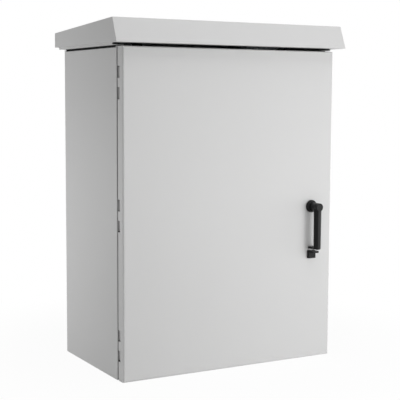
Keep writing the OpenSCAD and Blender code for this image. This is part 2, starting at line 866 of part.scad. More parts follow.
// A sheet case that is open at its front
module unit_case(x, d, h) {
    difference() {
        block(x, [unit_y0, unit_y0 + d], [shelf_z, shelf_z + h]);
        block([x[0] + unit_sheet, x[1] - unit_sheet], [unit_y0 - 1, unit_y0 + d - unit_sheet],
            [shelf_z + unit_sheet, shelf_z + h - unit_sheet]);
    }
}

// A front plate that closes such a case
module unit_front(x, h) {
    block([x[0] - unit_lap, x[1] + unit_lap], [unit_face, unit_y0], [shelf_z, shelf_z + h + unit_lap]);
}

display_x = [controller_x[0] + 14, controller_x[0] + 14 + display_w];
display_z = [shelf_z + controller_h - 18 - display_h, shelf_z + controller_h - 18];
keypad_x = [controller_x[1] - 14 - keypad_w, controller_x[1] - 14];
keypad_z = [shelf_z + controller_h - 18 - keypad_w, shelf_z + controller_h - 18];
recess_y = unit_face + 2;

module controller_case() {
    color("silver")
        unit_case(controller_x, controller_d, controller_h);
}

module controller_front() {
    color("dimgray")
        difference() {
            unit_front(controller_x, controller_h);
            for (p = [[display_x, display_z], [keypad_x, keypad_z]])
                block([p[0][0] - insert_fit, p[0][1] + insert_fit], [unit_face - 1, recess_y],
                    [p[1][0] - insert_fit, p[1][1] + insert_fit]);
        }
}

module controller_display() {
    color("darkseagreen")
        block(display_x, [recess_y - 1.5, recess_y], display_z);
}

// A membrane keypad with four by four raised keys
module controller_keypad() {
    color("gray") {
        block(keypad_x, [recess_y - 1.5, recess_y], keypad_z);
        for (i = [0 : 3])
            for (j = [0 : 3])
                block([keypad_x[0] + i * key_pitch + 3, keypad_x[0] + (i + 1) * key_pitch - 3],
                    [recess_y - 3.5, recess_y - 1],
                    [keypad_z[0] + j * key_pitch + 3, keypad_z[0] + (j + 1) * key_pitch - 3]);
    }
}

// Three round connectors under dust caps, each with a flange
module controller_connectors() {
    z = shelf_z + connector_z;
    color("dimgray")
        for (i = [0 : 2]) {
            x = controller_x[0] + connector_z + i * connector_pitch;
            bar_y(connector_d / 2 + 3, x, [unit_face - 3, unit_face], z);
            bar_y(connector_d / 2, x, [unit_face - connector_l, unit_face], z);
        }
}

module monitor_case() {
    color("silver")
        unit_case(monitor_x, monitor_d, monitor_h);
}

// The monitor's front plate with a pull bar
module monitor_front() {
    color("dimgray") {
        unit_front(monitor_x, monitor_h);
        for (z = [pull_zs[0], pull_zs[1] - pull_w])
            block(pull_xs, [pull_y + pull_w - 2, unit_face + 1], [z, z + pull_w]);
        block(pull_xs, [pull_y, pull_y + pull_w - 1], pull_zs);
    }
}

module load_rack() {
    color("silver") {
        block([-rack_x, rack_x], [rack_back, panel_y0], [rack_z, rack_floor + rack_h]);
        block([-rack_x, rack_x], [panel_y0 - rack_d, panel_y0], [rack_z, rack_floor]);
        for (x = [-rack_x, rack_x - rack_sheet])
            block([x, x + rack_sheet], [panel_y0 - rack_d, panel_y0], [rack_z, rack_floor + rack_h]);
        for (i = [1 : rack_slots - 1])
            block([-rack_x + i * module_pitch - 1, -rack_x + i * module_pitch + 1],
                [panel_y0 - rack_d, panel_y0], [rack_floor - 1, rack_floor + 8]);
        block([-rack_x, rack_x], [panel_y0 - rack_d, panel_y0 - rack_d + 16],
            [rack_floor + rack_h - rack_sheet, rack_floor + rack_h]);
    }
}

// Middle of a rack slot
function slot_x(i) = -rack_x + (i + 0.5) * module_pitch;

// A plug-in module: its body, a bezel and a pull tab
module rack_module(i, d) {
    block([slot_x(i) - module_w / 2, slot_x(i) + module_w / 2], [rack_back - d, rack_back],
        [rack_floor, rack_floor + module_h]);
    block([slot_x(i) - module_w / 2 + 2, slot_x(i) + module_w / 2 - 2],
        [rack_back - d - 3, rack_back - d + 1], [rack_floor + 3, rack_floor + module_h - 3]);
    block([slot_x(i) - 4, slot_x(i) + 4], [rack_back - d - 20, rack_back - d - 2],
        [rack_floor + 16, rack_floor + 56]);
}

module load_switch_1() {
    color("dimgray")
        rack_module(0, module_d);
}

module load_switch_2() {
    color("dimgray")
        rack_module(1, module_d);
}

module load_switch_3() {
    color("dimgray")
        rack_module(2, module_d);
}

module load_switch_4() {
    color("dimgray")
        rack_module(3, module_d);
}

module flasher_module() {
    color("dimgray")
        rack_module(4, module_d - 20);
}

// A plug-in relay on its base
module transfer_relay() {
    color("gray") {
        block([slot_x(5) - module_w / 2, slot_x(5) + module_w / 2], [rack_back - relay_d, rack_back],
            [rack_floor, rack_floor + 18]);
        block([slot_x(5) - module_w / 2 + 3, slot_x(5) + module_w / 2 - 3],
            [rack_back - relay_d + 3, rack_back - 3], [rack_floor + 17, rack_floor + relay_h]);
    }
}

// A terminal strip with upright barriers
module terminal_strip(zc) {
    cell = (strip_l - 2) / barrier_n;
    color("dimgray") {
        block([strip_x1 - strip_l, strip_x1], [panel_y0 - strip_d, panel_y0],
            [zc - strip_h / 2, zc + strip_h / 2]);
        for (i = [0 : barrier_n])
            block([strip_x1 - strip_l + i * cell, strip_x1 - strip_l + i * cell + 2],
                [panel_y0 - strip_d - barrier_d, panel_y0 - strip_d + 1],
                [zc - strip_h / 2, zc + strip_h / 2]);
    }
}

module upper_terminal_strip() {
    terminal_strip(strip_zs[0]);
}

module lower_terminal_strip() {
    terminal_strip(strip_zs[1]);
}

// A top hat rail with its feet on the panel
module din_rail() {
    color("silver")
        plate_yz([din_x0, din_x0 + din_l])
            polygon([
                [panel_y0, din_z - channel_out], [panel_y0, din_z + channel_out],
                [din_y + din_sheet, din_z + channel_out], [din_y + din_sheet, din_z + din_h / 2],
                [din_y, din_z + din_h / 2], [din_y, din_z + channel_in],
                [panel_y0 - din_sheet, din_z + channel_in], [panel_y0 - din_sheet, din_z - channel_in],
                [din_y, din_z - channel_in], [din_y, din_z - din_h / 2],
                [din_y + din_sheet, din_z - din_h / 2], [din_y + din_sheet, din_z - channel_out]
            ]);
}

// The stepped side view that all rail devices share
module rail_device(x) {
    plate_yz(x)
        polygon([
            [din_y, din_z - breaker_h / 2], [din_y, din_z + breaker_h / 2],
            [din_y - breaker_d, din_z + breaker_h / 2], [din_y - breaker_d, din_z + nose_h / 2],
            [nose_y, din_z + nose_h / 2], [nose_y, din_z - nose_h / 2],
            [din_y - breaker_d, din_z - nose_h / 2], [din_y - breaker_d, din_z - breaker_h / 2]
        ]);
}

breaker_xs = [
    [breaker_x0, breaker_x0 + 2 * pole_w],
    [breaker_x0 + 2 * pole_w + 0.4, breaker_x0 + 3 * pole_w + 0.4],
    [breaker_x0 + 3 * pole_w + 0.8, breaker_x0 + 4 * pole_w + 0.8]
];
toggle_half = pole_w / 2 - 4;

module breaker(x) {
    mid = (x[0] + x[1]) / 2;
    color("whitesmoke")
        difference() {
            rail_device(x);
            block([mid - toggle_half - side_clear, mid + toggle_half + side_clear],
                [nose_y - 1, pivot_y + barrel_r + 1], [din_z - 9, din_z + 9]);
            bar_x(1.5 + roller_fit, [mid - toggle_half - 2, mid + toggle_half + 2], pivot_y, din_z);
        }
}

module toggle(x) {
    mid = (x[0] + x[1]) / 2;
    color("black") {
        bar_x(barrel_r, [mid - toggle_half, mid + toggle_half], pivot_y, din_z);
        bar_x(1.5, [mid - toggle_half - 1.5, mid + toggle_half + 1.5], pivot_y, din_z);
        translate([0, pivot_y, din_z])
            rotate([-toggle_tilt, 0, 0])
                block([mid - toggle_half, mid + toggle_half], [-toggle_l, 0], [-2, 2]);
    }
}

module main_breaker() {
    breaker(breaker_xs[0]);
}

module signal_breaker() {
    breaker(breaker_xs[1]);
}

module service_breaker() {
    breaker(breaker_xs[2]);
}

module main_toggle() {
    toggle(breaker_xs[0]);
}

module signal_toggle() {
    toggle(breaker_xs[1]);
}

module service_toggle() {
    toggle(breaker_xs[2]);
}

module surge_arrester() {
    color("gray")
        rail_device([din_x0 + din_l - 8 - arrester_w, din_x0 + din_l - 8]);
}

// A drilled bar along X
module bus_bar(x0) {
    difference() {
        block([x0, x0 + bus_l], [panel_y0 - bus_off - bus_t, panel_y0 - bus_off],
            [bus_z - bus_h / 2, bus_z + bus_h / 2]);
        for (i = [0 : 9])
            bar_y(2.5, x0 + bus_l * (i + 0.5) / 10,
                [panel_y0 - bus_off - bus_t - 1, panel_y0 - bus_off + 1], bus_z);
    }
}

// The ground bar with its two feet on the panel
module ground_bar() {
    color("goldenrod") {
        bus_bar(din_x0);
        for (x = [din_x0 + 4, din_x0 + bus_l - 16])
            block([x, x + 12], [panel_y0 - bus_off - 1, panel_y0], [bus_z - 6, bus_z + 6]);
    }
}

module neutral_bar() {
    color("goldenrod")
        bus_bar(strip_x1 - bus_l);
}

module neutral_insulators() {
    color("firebrick")
        for (x = [strip_x1 - bus_l + insulator_in, strip_x1 - insulator_in])
            bar_y(insulator_d / 2, x, [panel_y0 - bus_off, panel_y0], bus_z);
}

// A batten lamp under the top, behind the front flange
module cabinet_lamp() {
    color("whitesmoke")
        plate_yz([-lamp_l / 2, lamp_l / 2])
            round_rect([y_front + lamp_y, y_front + lamp_y + lamp_w],
                [body_h - s - lamp_h, body_h - s], [6, 6, 0, 0]);
}

// A block whose four front edges are folded to a radius
module folded_pan(x, y, z, r, foot_r) {
    difference() {
        folded_block(x, y, z, r, 0);
        difference() {
            block([x[0] - 1, x[1] + 1], [y[0] - 1, y[0] + r], [z[1] - r, z[1] + 1]);
            bar_x(r, [x[0] - 2, x[1] + 2], y[0] + r, z[1] - r);
        }
        difference() {
            block([x[0] - 1, x[1] + 1], [y[0] - 1, y[0] + foot_r], [z[0] - 1, z[0] + foot_r]);
            bar_x(foot_r, [x[0] - 2, x[1] + 2], y[0] + foot_r, z[0] + foot_r);
        }
    }
}

module door_panel() {
    t = door_sheet;
    color("gainsboro")
        difference() {
            folded_pan([-hw, hw], [door_y0, door_y1], [door_foot, body_h - door_end], door_bend_r,
                door_foot_r);
            folded_pan([-hw + t, hw - t], [door_in, door_y1 + 1], [door_foot + t, body_h - door_end - t],
                door_bend_r - t + 0.5, door_foot_r / 4);
            for (zc = hinge_zs)
                for (side = [-1, 1]) {
                    near = door_knuckle_h / 2 + knuckle_gap / 2;
                    far = hinge_half + notch_clear;
                    block([-hw - 1, -hw + t + 1], [hinge_y - knuckle_d / 2 - notch_clear, door_y1 + 1],
                        side > 0 ? [zc + near, zc + far] : [zc - far, zc - near]);
                }
            bar_y(shank_d / 2 + bolt_fit, hx, [door_y0 - 1, door_in + 1], hz);
        }
}

module door_gasket() {
    edge = seal_mid - gasket_w / 2;
    color("dimgray")
        frame_ring([-hw + edge, hw - edge], [door_in, door_in + gasket_t], [edge, body_h - edge], gasket_w);
}

module door_stiffeners() {
    color("gainsboro")
        for (x = [-hw + stiffener_side, hx - stiffener_from_handle])
            difference() {
                block([x - stiffener_w / 2, x + stiffener_w / 2], [door_in, door_in + stiffener_d],
                    [stiffener_end, body_h - stiffener_end]);
                block([x - stiffener_w / 2 + stiffener_sheet, x + stiffener_w / 2 - stiffener_sheet],
                    [door_in - 1, door_in + stiffener_d - stiffener_sheet],
                    [stiffener_end - 1, body_h - stiffener_end + 1]);
            }
}

module door_leaf(zc) {
    inner = -hw + door_sheet;
    color("silver")
        difference() {
            union() {
                block([inner, inner + leaf_t], [door_in + 4, hinge_y - knuckle_d / 2 - notch_clear - 0.5],
                    [zc - hinge_half, zc + hinge_half]);
                block([inner, hinge_x], [hinge_y - knuckle_d / 2 - notch_clear - 2, hinge_y],
                    [zc - door_knuckle_h / 2, zc + door_knuckle_h / 2]);
                bar_z(knuckle_d / 2, hinge_x, hinge_y, [zc - door_knuckle_h / 2, zc + door_knuckle_h / 2]);
            }
            bar_z(pin_d / 2 + door_pin_fit, hinge_x, hinge_y, [zc - hinge_half, zc + hinge_half]);
        }
}

module hinge_door_leaves() {
    for (zc = hinge_zs)
        door_leaf(zc);
}

pocket_mid = (-hw + stiffener_side + hx - stiffener_from_handle) / 2;

// A folded pocket that is open at its top and backed by the door
module document_pocket() {
    p = pocket_sheet;
    color("gainsboro")
        difference() {
            block([pocket_mid - pocket_w / 2, pocket_mid + pocket_w / 2], [door_in, door_in + pocket_d],
                [pocket_z, pocket_z + pocket_h]);
            block([pocket_mid - pocket_w / 2 + p, pocket_mid + pocket_w / 2 - p],
                [door_in - 1, door_in + pocket_d - p], [pocket_z + p, pocket_z + pocket_h + 1]);
        }
}

// A turned shape about the handle's axis; heights count outward from the door's face
module handle_turned() {
    translate([hx, door_y0, hz])
        rotate([90, 0, 0])
            rotate_extrude()
                children();
}

module handle_rosette() {
    r = neck_d / 2 + neck_fit;
    back = -door_sheet - shank_in;
    color("black")
        handle_turned()
            polygon([
                [r, back], [shank_d / 2, back], [shank_d / 2, 0], [rosette_d / 2, 0],
                [rosette_d / 2, rosette_t - 2], [rosette_d / 2 - 1.2, rosette_t - 0.5],
                [hub_d / 2 + 1, rosette_t], [hub_d / 2, hub_face - 1],
                [hub_d / 2 - 1, hub_face], [r, hub_face]
            ]);
}

// The fixed half of the padlock lugs
module padlock_bracket() {
    top = hz - lever_l - lug_space;
    color("black")
        difference() {
            union() {
                block([hx - bracket_w / 2, hx + bracket_w / 2], [door_y0 - bracket_d, door_y0],
                    [top - bracket_h, top]);
                block([hx - lug_w / 2, hx + lug_w / 2], [door_y0 - bracket_reach, door_y0],
                    [top - bracket_lug_t, top]);
            }
            bar_z(padlock_hole_d / 2, hx, door_y0 - padlock_y, [top - bracket_h - 1, top + 1]);
        }
}

// One casting: neck, round head, grip and padlock lug
module handle_lever() {
    low = -lever_l;
    color("black")
        difference() {
            union() {
                handle_turned()
                    polygon([
                        [0, -door_sheet - shank_in], [neck_d / 2, -door_sheet - shank_in],
                        [neck_d / 2, hub_face + head_clear], [head_d / 2 - 1, hub_face + head_clear],
                        [head_d / 2, hub_face + head_clear + 1], [head_d / 2, head_face - head_edge],
                        [head_d / 2 - head_edge, head_face], [0, head_face]
                    ]);
                translate([hx, door_y0 - lever_reach, hz])
                    rotate_extrude()
                        polygon([
                            [0, low], [grip_end_d / 2 - 2.6, low], [grip_end_d / 2 - 1, low + 0.6],
                            [grip_end_d / 2, low + 2.4], [grip_d / 2, -grip_top], [0, -grip_top]
                        ]);
                block([hx - lug_w / 2, hx + lug_w / 2], [door_y0 - lever_reach, door_y0 - lug_off],
                    [hz + low, hz + low + lug_t]);
            }
            bar_z(padlock_hole_d / 2, hx, door_y0 - padlock_y, [hz + low - 1, hz + low + lug_t + 1]);
            square_y(spindle_w + 2 * spindle_fit, [door_y0 - hub_face - 8, door_in + shank_in + 1]);
        }
}

// A square bar along the handle's axis
module square_y(w, y) {
    block([hx - w / 2, hx + w / 2], y, [hz - w / 2, hz + w / 2]);
}

module handle_spindle() {
    color("silver")
        square_y(spindle_w, [door_y0 - hub_face - 7.7, case_back + cover_t]);
}

// Half angle of a pinion tooth at a radius
function involute(a) = tan(a) * 180 / PI - a;
function tooth_half(r) = 90 / gear_teeth - backlash / 4 / pitch_r * 180 / PI
    + involute(pressure) - involute(acos(min(1, base_r / r)));
function polar(r, a) = [r * cos(a), r * sin(a)];

module latch_pinion() {
    steps = 4;
    flank = [for (i = [0 : steps]) base_r + (tip_r - base_r) * i / steps];
    color("silver")
        difference() {
            union() {
                translate([hx, 0, hz])
                    plate_xz([rod_y - rod_w / 2, rod_y + rod_w / 2])
                        polygon([
                            for (t = [0 : gear_teeth - 1])
                                for (p = concat(
                                    [polar(root_r, -tooth_half(base_r))],
                                    [for (r = flank) polar(r, -tooth_half(r))],
                                    [for (i = [steps : -1 : 0]) polar(flank[i], tooth_half(flank[i]))],
                                    [polar(root_r, tooth_half(base_r))]
                                ))
                                    [p.x * cos(t * 360 / gear_teeth) - p.y * sin(t * 360 / gear_teeth),
                                     p.x * sin(t * 360 / gear_teeth) + p.y * cos(t * 360 / gear_teeth)]
                        ]);
                bar_y(8, hx, [door_in + shank_in + 3, rod_y], hz);
                bar_y(7, hx, [rod_y, case_back + cover_t], hz);
            }
            square_y(spindle_w + 2 * spindle_fit, [door_in, case_back + cover_t + 1]);
        }
}

// An open housing on the door with slots for the rods
module latch_case() {
    slot_y = [rod_y - rod_w / 2 - rod_fit, rod_y + rod_w / 2 + rod_fit];
    color("silver")
        difference() {
            block([hx - case_out, hx + case_out], [door_in, case_back], [hz - case_half_h, hz + case_half_h]);
            block([hx - case_in, hx + case_in], [door_in + case_wall, case_back + 1],
                [hz - case_half_h + case_wall, hz + case_half_h - case_wall]);
            bar_y(shank_d / 2 + bolt_fit, hx, [door_in - 1, door_in + case_wall + 1], hz);
            block([hx + rod_u0 - rod_fit, hx + case_in], slot_y, [hz, hz + case_half_h + 1]);
            block([hx - case_in, hx - rod_u0 + rod_fit], slot_y, [hz - case_half_h - 1, hz]);
        }
}

module latch_cover() {
    color("silver")
        difference() {
            block([hx - case_out, hx + case_out], [case_back, case_back + cover_t],
                [hz - case_half_h, hz + case_half_h]);
            bar_y(7 + roller_fit, hx, [case_back - 1, case_back + cover_t + 1], hz);
        }
}

// A guide block with a foot on the door, for the rod above the handle
module rod_guide() {
    translate([hx, 0, hz])
        difference() {
            union() {
                block([rod_u0 - 3, rod_u1 + 3], [door_in, rod_y + rod_w / 2 + 3.5],
                    [guide_v, guide_v + guide_h]);
                block([rod_u0 - 8, rod_u1 + 6], [door_in, door_in + 3],
                    [guide_v - 8, guide_v + guide_h + 8]);
            }
            block([rod_u0 - rod_fit, rod_u1 + rod_fit],
                [rod_y - rod_w / 2 - rod_fit, rod_y + rod_w / 2 + rod_fit],
                [guide_v - 1, guide_v + guide_h + 1]);
        }
}

// Turns a piece half round the handle's axis
module half_turn() {
    translate([hx, 0, hz])
        rotate([0, 180, 0])
            translate([-hx, 0, -hz])
                children();
}

module rod_guides() {
    color("dimgray") {
        rod_guide();
        half_turn()
            rod_guide();
    }
}

// A square rod with a rack at its inner end and a headed spigot at its outer end
module latch_rod() {
    half = pitch / 4 - backlash / 4;
    slope = tan(pressure);
    translate([hx, 0, hz]) {
        plate_xz([rod_y - rod_w / 2, rod_y + rod_w / 2])
            polygon(concat(
                [[rod_u1, -2 * pitch], [rod_u0, -2 * pitch]],
                [for (k = [-1.5 : 4.5]) each [
                    [rod_u0, k * pitch - half - rack_ded * slope],
                    [pitch_r - rack_add, k * pitch - half + rack_add * slope],
                    [pitch_r - rack_add, k * pitch + half - rack_add * slope],
                    [rod_u0, k * pitch + half + rack_ded * slope]
                ]],
                [[rod_u0, roller_v + 6], [rod_u1, roller_v + 6]]
            ));
        bar_x(spigot_d / 2, [spigot_u - 0.5, rod_u0 + 1], rod_y, roller_v);
        bar_x(spigot_d / 2 + 1.5, [spigot_u - 1.5, spigot_u], rod_y, roller_v);
    }
}

module upper_latch_rod() {
    color("silver")
        latch_rod();
}

module lower_latch_rod() {
    color("silver")
        half_turn()
            latch_rod();
}

module rod_roller() {
    translate([hx, 0, hz])
        difference() {
            bar_x(roller_d / 2, [rod_u0 - side_clear - roller_w, rod_u0 - side_clear], rod_y, roller_v);
            bar_x(spigot_d / 2 + roller_fit, [rod_u0 - side_clear - roller_w - 1, rod_u0], rod_y, roller_v);
        }
}

module upper_roller() {
    color("whitesmoke")
        rod_roller();
}

module lower_roller() {
    color("whitesmoke")
        half_turn()
            rod_roller();
}

enclosure_body();
frame_seal();
hinge_frame_leaves();
hinge_pins();
rain_hood();
hood_rails();
hood_spacers();
hood_bolts();
gland_plate();
gland_seal();
gland_screws();
cable_grommets();
mounting_panel();
panel_nuts();
equipment_shelf();
controller_case();
controller_front();
controller_display();
controller_keypad();
controller_connectors();
monitor_case();
monitor_front();
load_rack();
load_switch_1();
load_switch_2();
load_switch_3();
load_switch_4();
flasher_module();
transfer_relay();
upper_terminal_strip();
lower_terminal_strip();
din_rail();
main_breaker();
signal_breaker();
service_breaker();
main_toggle();
signal_toggle();
service_toggle();
surge_arrester();
ground_bar();
neutral_bar();
neutral_insulators();
cabinet_lamp();
door_panel();
door_gasket();
door_stiffeners();
hinge_door_leaves();
document_pocket();
handle_rosette();
padlock_bracket();
latch_case();
latch_cover();
rod_guides();
handle_lever();
handle_spindle();
latch_pinion();
upper_latch_rod();
lower_latch_rod();
upper_roller();
lower_roller();
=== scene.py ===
"""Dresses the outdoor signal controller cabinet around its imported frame.

Every mesh is in the frame's own metres, and the sizes in the classes are millimetres.
"""

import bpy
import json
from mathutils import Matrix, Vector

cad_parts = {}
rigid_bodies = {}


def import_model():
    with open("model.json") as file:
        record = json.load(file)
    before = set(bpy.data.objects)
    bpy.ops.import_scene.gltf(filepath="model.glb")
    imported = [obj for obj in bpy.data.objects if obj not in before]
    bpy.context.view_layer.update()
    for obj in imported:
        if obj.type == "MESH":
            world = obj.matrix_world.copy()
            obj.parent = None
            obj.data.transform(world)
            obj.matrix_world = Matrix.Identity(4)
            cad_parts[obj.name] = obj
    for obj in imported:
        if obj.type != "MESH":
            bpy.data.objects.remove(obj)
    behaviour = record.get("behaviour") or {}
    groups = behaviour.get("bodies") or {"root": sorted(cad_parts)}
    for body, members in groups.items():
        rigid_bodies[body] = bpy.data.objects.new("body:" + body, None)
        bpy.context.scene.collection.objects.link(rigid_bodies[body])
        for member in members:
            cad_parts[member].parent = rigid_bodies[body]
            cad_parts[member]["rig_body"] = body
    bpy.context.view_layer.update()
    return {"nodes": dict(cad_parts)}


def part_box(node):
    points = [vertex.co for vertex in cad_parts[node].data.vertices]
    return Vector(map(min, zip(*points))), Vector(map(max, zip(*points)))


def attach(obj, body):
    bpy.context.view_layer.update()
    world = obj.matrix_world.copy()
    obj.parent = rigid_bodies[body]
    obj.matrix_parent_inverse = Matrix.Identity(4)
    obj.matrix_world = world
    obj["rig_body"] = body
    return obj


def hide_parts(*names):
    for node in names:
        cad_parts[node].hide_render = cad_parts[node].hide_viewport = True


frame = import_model()

import json
import logging
import math
from collections.abc import Sequence
from dataclasses import dataclass, field
from enum import Enum

import bmesh
import bpy
from mathutils import Euler, Matrix, Vector

LOG = logging.getLogger("cabinet")
MM = 0.001
Point = tuple[float, float, float]
INWARD: Point = (0.0, 1.0, 0.0)
OUTWARD: Point = (0.0, -1.0, 0.0)
WHITE = (1.0, 1.0, 1.0, 1.0)
# Points of a node closer than this, in metres, are one point, and faces within this angle are one face
MERGE_M = 2e-6
FLAT_DEG = 0.4
# Edges above these angles stay sharp when a mesh is shaded
PIECE_SHARP_DEG = 38.0
HEAD_SHARP_DEG = 40.0


class Slot(Enum):
    """The record's material slots."""

    COAT = "light_grey_powder_coat"
    CASTING = "black_cast_zinc"
    ZINC = "zinc_plated_steel"
    GALVANISED = "galvanised_sheet"
    RUBBER = "black_rubber"
    ALUMINIUM = "unit_aluminium"
    FRONT = "dark_front_plate"
    WINDOW = "display_window"
    MEMBRANE = "membrane_grey"
    BLACK_PLASTIC = "black_plastic"
    CLEAR_PLASTIC = "clear_grey_plastic"
    LIGHT_PLASTIC = "light_plastic"
    GREY_PLASTIC = "grey_plastic"
    NYLON = "white_nylon"
    BRASS = "brass_bar"
    INSULATOR = "red_insulator"


class Body(Enum):
    """The bodies that added pieces ride on."""

    CABINET = "cabinet"
    DOOR = "door"


class Head(Enum):
    """Profiles of small turned heads: radius share against height share, from seat to top."""

    PAN = ((0.0, 1.0), (0.45, 1.0), (0.75, 0.93), (0.92, 0.8), (1.0, 0.62))
    LENS = ((0.0, 1.0), (0.3, 1.0), (0.31, 0.78), (0.7, 0.68), (0.9, 0.42), (1.0, 0.1))
    FLAT = ((0.0, 1.0), (0.6, 0.98), (0.85, 0.94), (1.0, 0.86))


def linear(code: str) -> tuple[float, float, float, float]:
    """Turns an sRGB hex value into a linear colour.

    Args:
        code: six hex digits with a leading mark.

    Returns:
        Linear red, green, blue and full alpha.
    """
    parts = [int(code[i:i + 2], 16) / 255 for i in (1, 3, 5)]
    red, green, blue = (p / 12.92 if p <= 0.04045 else ((p + 0.055) / 1.055) ** 2.4 for p in parts)
    return red, green, blue, 1.0


def fill(tree: bpy.types.NodeTree, node: bpy.types.Node, sockets: dict[str | int, object]) -> None:
    """Sets or links a node's inputs.

    Args:
        tree: the node tree.
        node: the node whose inputs are filled.
        sockets: values or output sockets for the inputs, by name or index.
    """
    for key, value in sockets.items():
        if isinstance(value, bpy.types.NodeSocket):
            tree.links.new(value, node.inputs[key])
        else:
            node.inputs[key].default_value = value


def add(tree: bpy.types.NodeTree, kind: str, sockets: dict[str | int, object] | None = None,
        **settings: object) -> bpy.types.Node:
    """Adds a node with its settings, values and links.

    Args:
        tree: the node tree.
        kind: the node's type name.
        sockets: values or output sockets for the node's inputs, by name or index.
        **settings: the node's own properties.

    Returns:
        The new node.
    """
    made = tree.nodes.new(kind)
    for name, value in settings.items():
        setattr(made, name, value)
    fill(tree, made, sockets or {})
    return made


def applied(piece: bpy.types.Object) -> bpy.types.Mesh:
    """Applies a piece's modifiers and takes them off.

    Args:
        piece: the object that becomes a plain mesh.

    Returns:
        The piece's new mesh.
    """
    graph = bpy.context.evaluated_depsgraph_get()
    mesh = bpy.data.meshes.new_from_object(piece.evaluated_get(graph), depsgraph=graph)
    piece.modifiers.clear()
    piece.data = mesh
    mesh.name = piece.name
    return mesh


def smoothed(piece: bpy.types.Object, sharp_deg: float) -> None:
    """Makes a piece a plain, smooth-shaded mesh whose large faces stay flat.

    Args:
        piece: the object whose modifiers are applied first.
        sharp_deg: edges above this angle stay sharp.
    """
    mesh = applied(piece)
    mesh.shade_smooth()
    mesh.set_sharp_from_angle(angle=math.radians(sharp_deg))
    even = piece.modifiers.new("normals", "WEIGHTED_NORMAL")
    even.keep_sharp = True
    applied(piece)


def shown(name: str, mesh: bpy.types.Mesh) -> bpy.types.Object:
    """Puts a mesh into the scene.

    Args:
        name: the piece's name.
        mesh: the piece's mesh.

    Returns:
        The new object.
    """
    piece = bpy.data.objects.new(name, mesh)
    bpy.context.scene.collection.objects.link(piece)
    return piece


@dataclass(frozen=True)
class Finish:
    """A surface finish that makes its material once."""

    name: str
    slot: Slot
    colour: str
    shade: str
    roughness: float

    def material(self) -> bpy.types.Material:
        """Gives the finish's material, made at its first use.

        Returns:
            The material.
        """
        found = bpy.data.materials.get(self.name)
        if found is not None:
            return found
        made = bpy.data.materials.new(self.name)
        made.use_nodes = True
        tree = made.node_tree
        tree.nodes.clear()
        shader = add(tree, "ShaderNodeBsdfPrincipled")
        add(tree, "ShaderNodeOutputMaterial", {"Surface": shader.outputs["BSDF"]})
        place = add(tree, "ShaderNodeTexCoord")
        self.surface(tree, shader, place.outputs["Object"])
        return made

    def surface(self, tree: bpy.types.NodeTree, shader: bpy.types.Node, place: bpy.types.NodeSocket) -> None:
        """Adds the finish's own nodes; each kind of finish has its own.

        Args:
            tree: the material's tree.
            shader: the principled shader.
            place: object coordinates.
        """
        raise NotImplementedError


@dataclass(frozen=True)
class PowderCoat(Finish):
    """Polyester powder coat, sprayed and stoved: even satin grey with a faint orange peel."""

    peel_mm: float = 2.4
    drift_mm: float = 420.0
    peel: float = 0.05
    peel_depth_mm: float = 0.25
    gloss_drift: float = 0.05
    mirror: float = 0.3

    def surface(self, tree: bpy.types.NodeTree, shader: bpy.types.Node, place: bpy.types.NodeSocket) -> None:
        """Gives a slow drift of tone, a slight drift of gloss and the orange peel.

        The peel of the real coat is about 1 mm across and is drawn coarser, so that it shows.

        Args:
            tree: the material's tree.
            shader: the principled shader.
            place: object coordinates.
        """
        drift = add(tree, "ShaderNodeTexNoise",
                    {"Vector": place, "Scale": 1 / (self.drift_mm * MM), "Detail": 2.0})
        tone = add(tree, "ShaderNodeMix",
                   {"Factor": drift.outputs["Fac"], 6: linear(self.shade), 7: linear(self.colour)},
                   data_type="RGBA")
        peel = add(tree, "ShaderNodeTexNoise",
                   {"Vector": place, "Scale": 1 / (self.peel_mm * MM), "Detail": 2.0, "Roughness": 0.45})
        gloss = add(tree, "ShaderNodeMapRange",
                    {"Value": peel.outputs["Fac"], "To Min": self.roughness - self.gloss_drift,
                     "To Max": self.roughness + self.gloss_drift})
        relief = add(tree, "ShaderNodeBump",
                     {"Height": peel.outputs["Fac"], "Strength": self.peel,
                      "Distance": self.peel_depth_mm * MM})
        fill(tree, shader, {"Base Color": tone.outputs[2], "Roughness": gloss.outputs["Result"],
                            "Normal": relief.outputs["Normal"]})
        shader.inputs["Specular IOR Level"].default_value = self.mirror


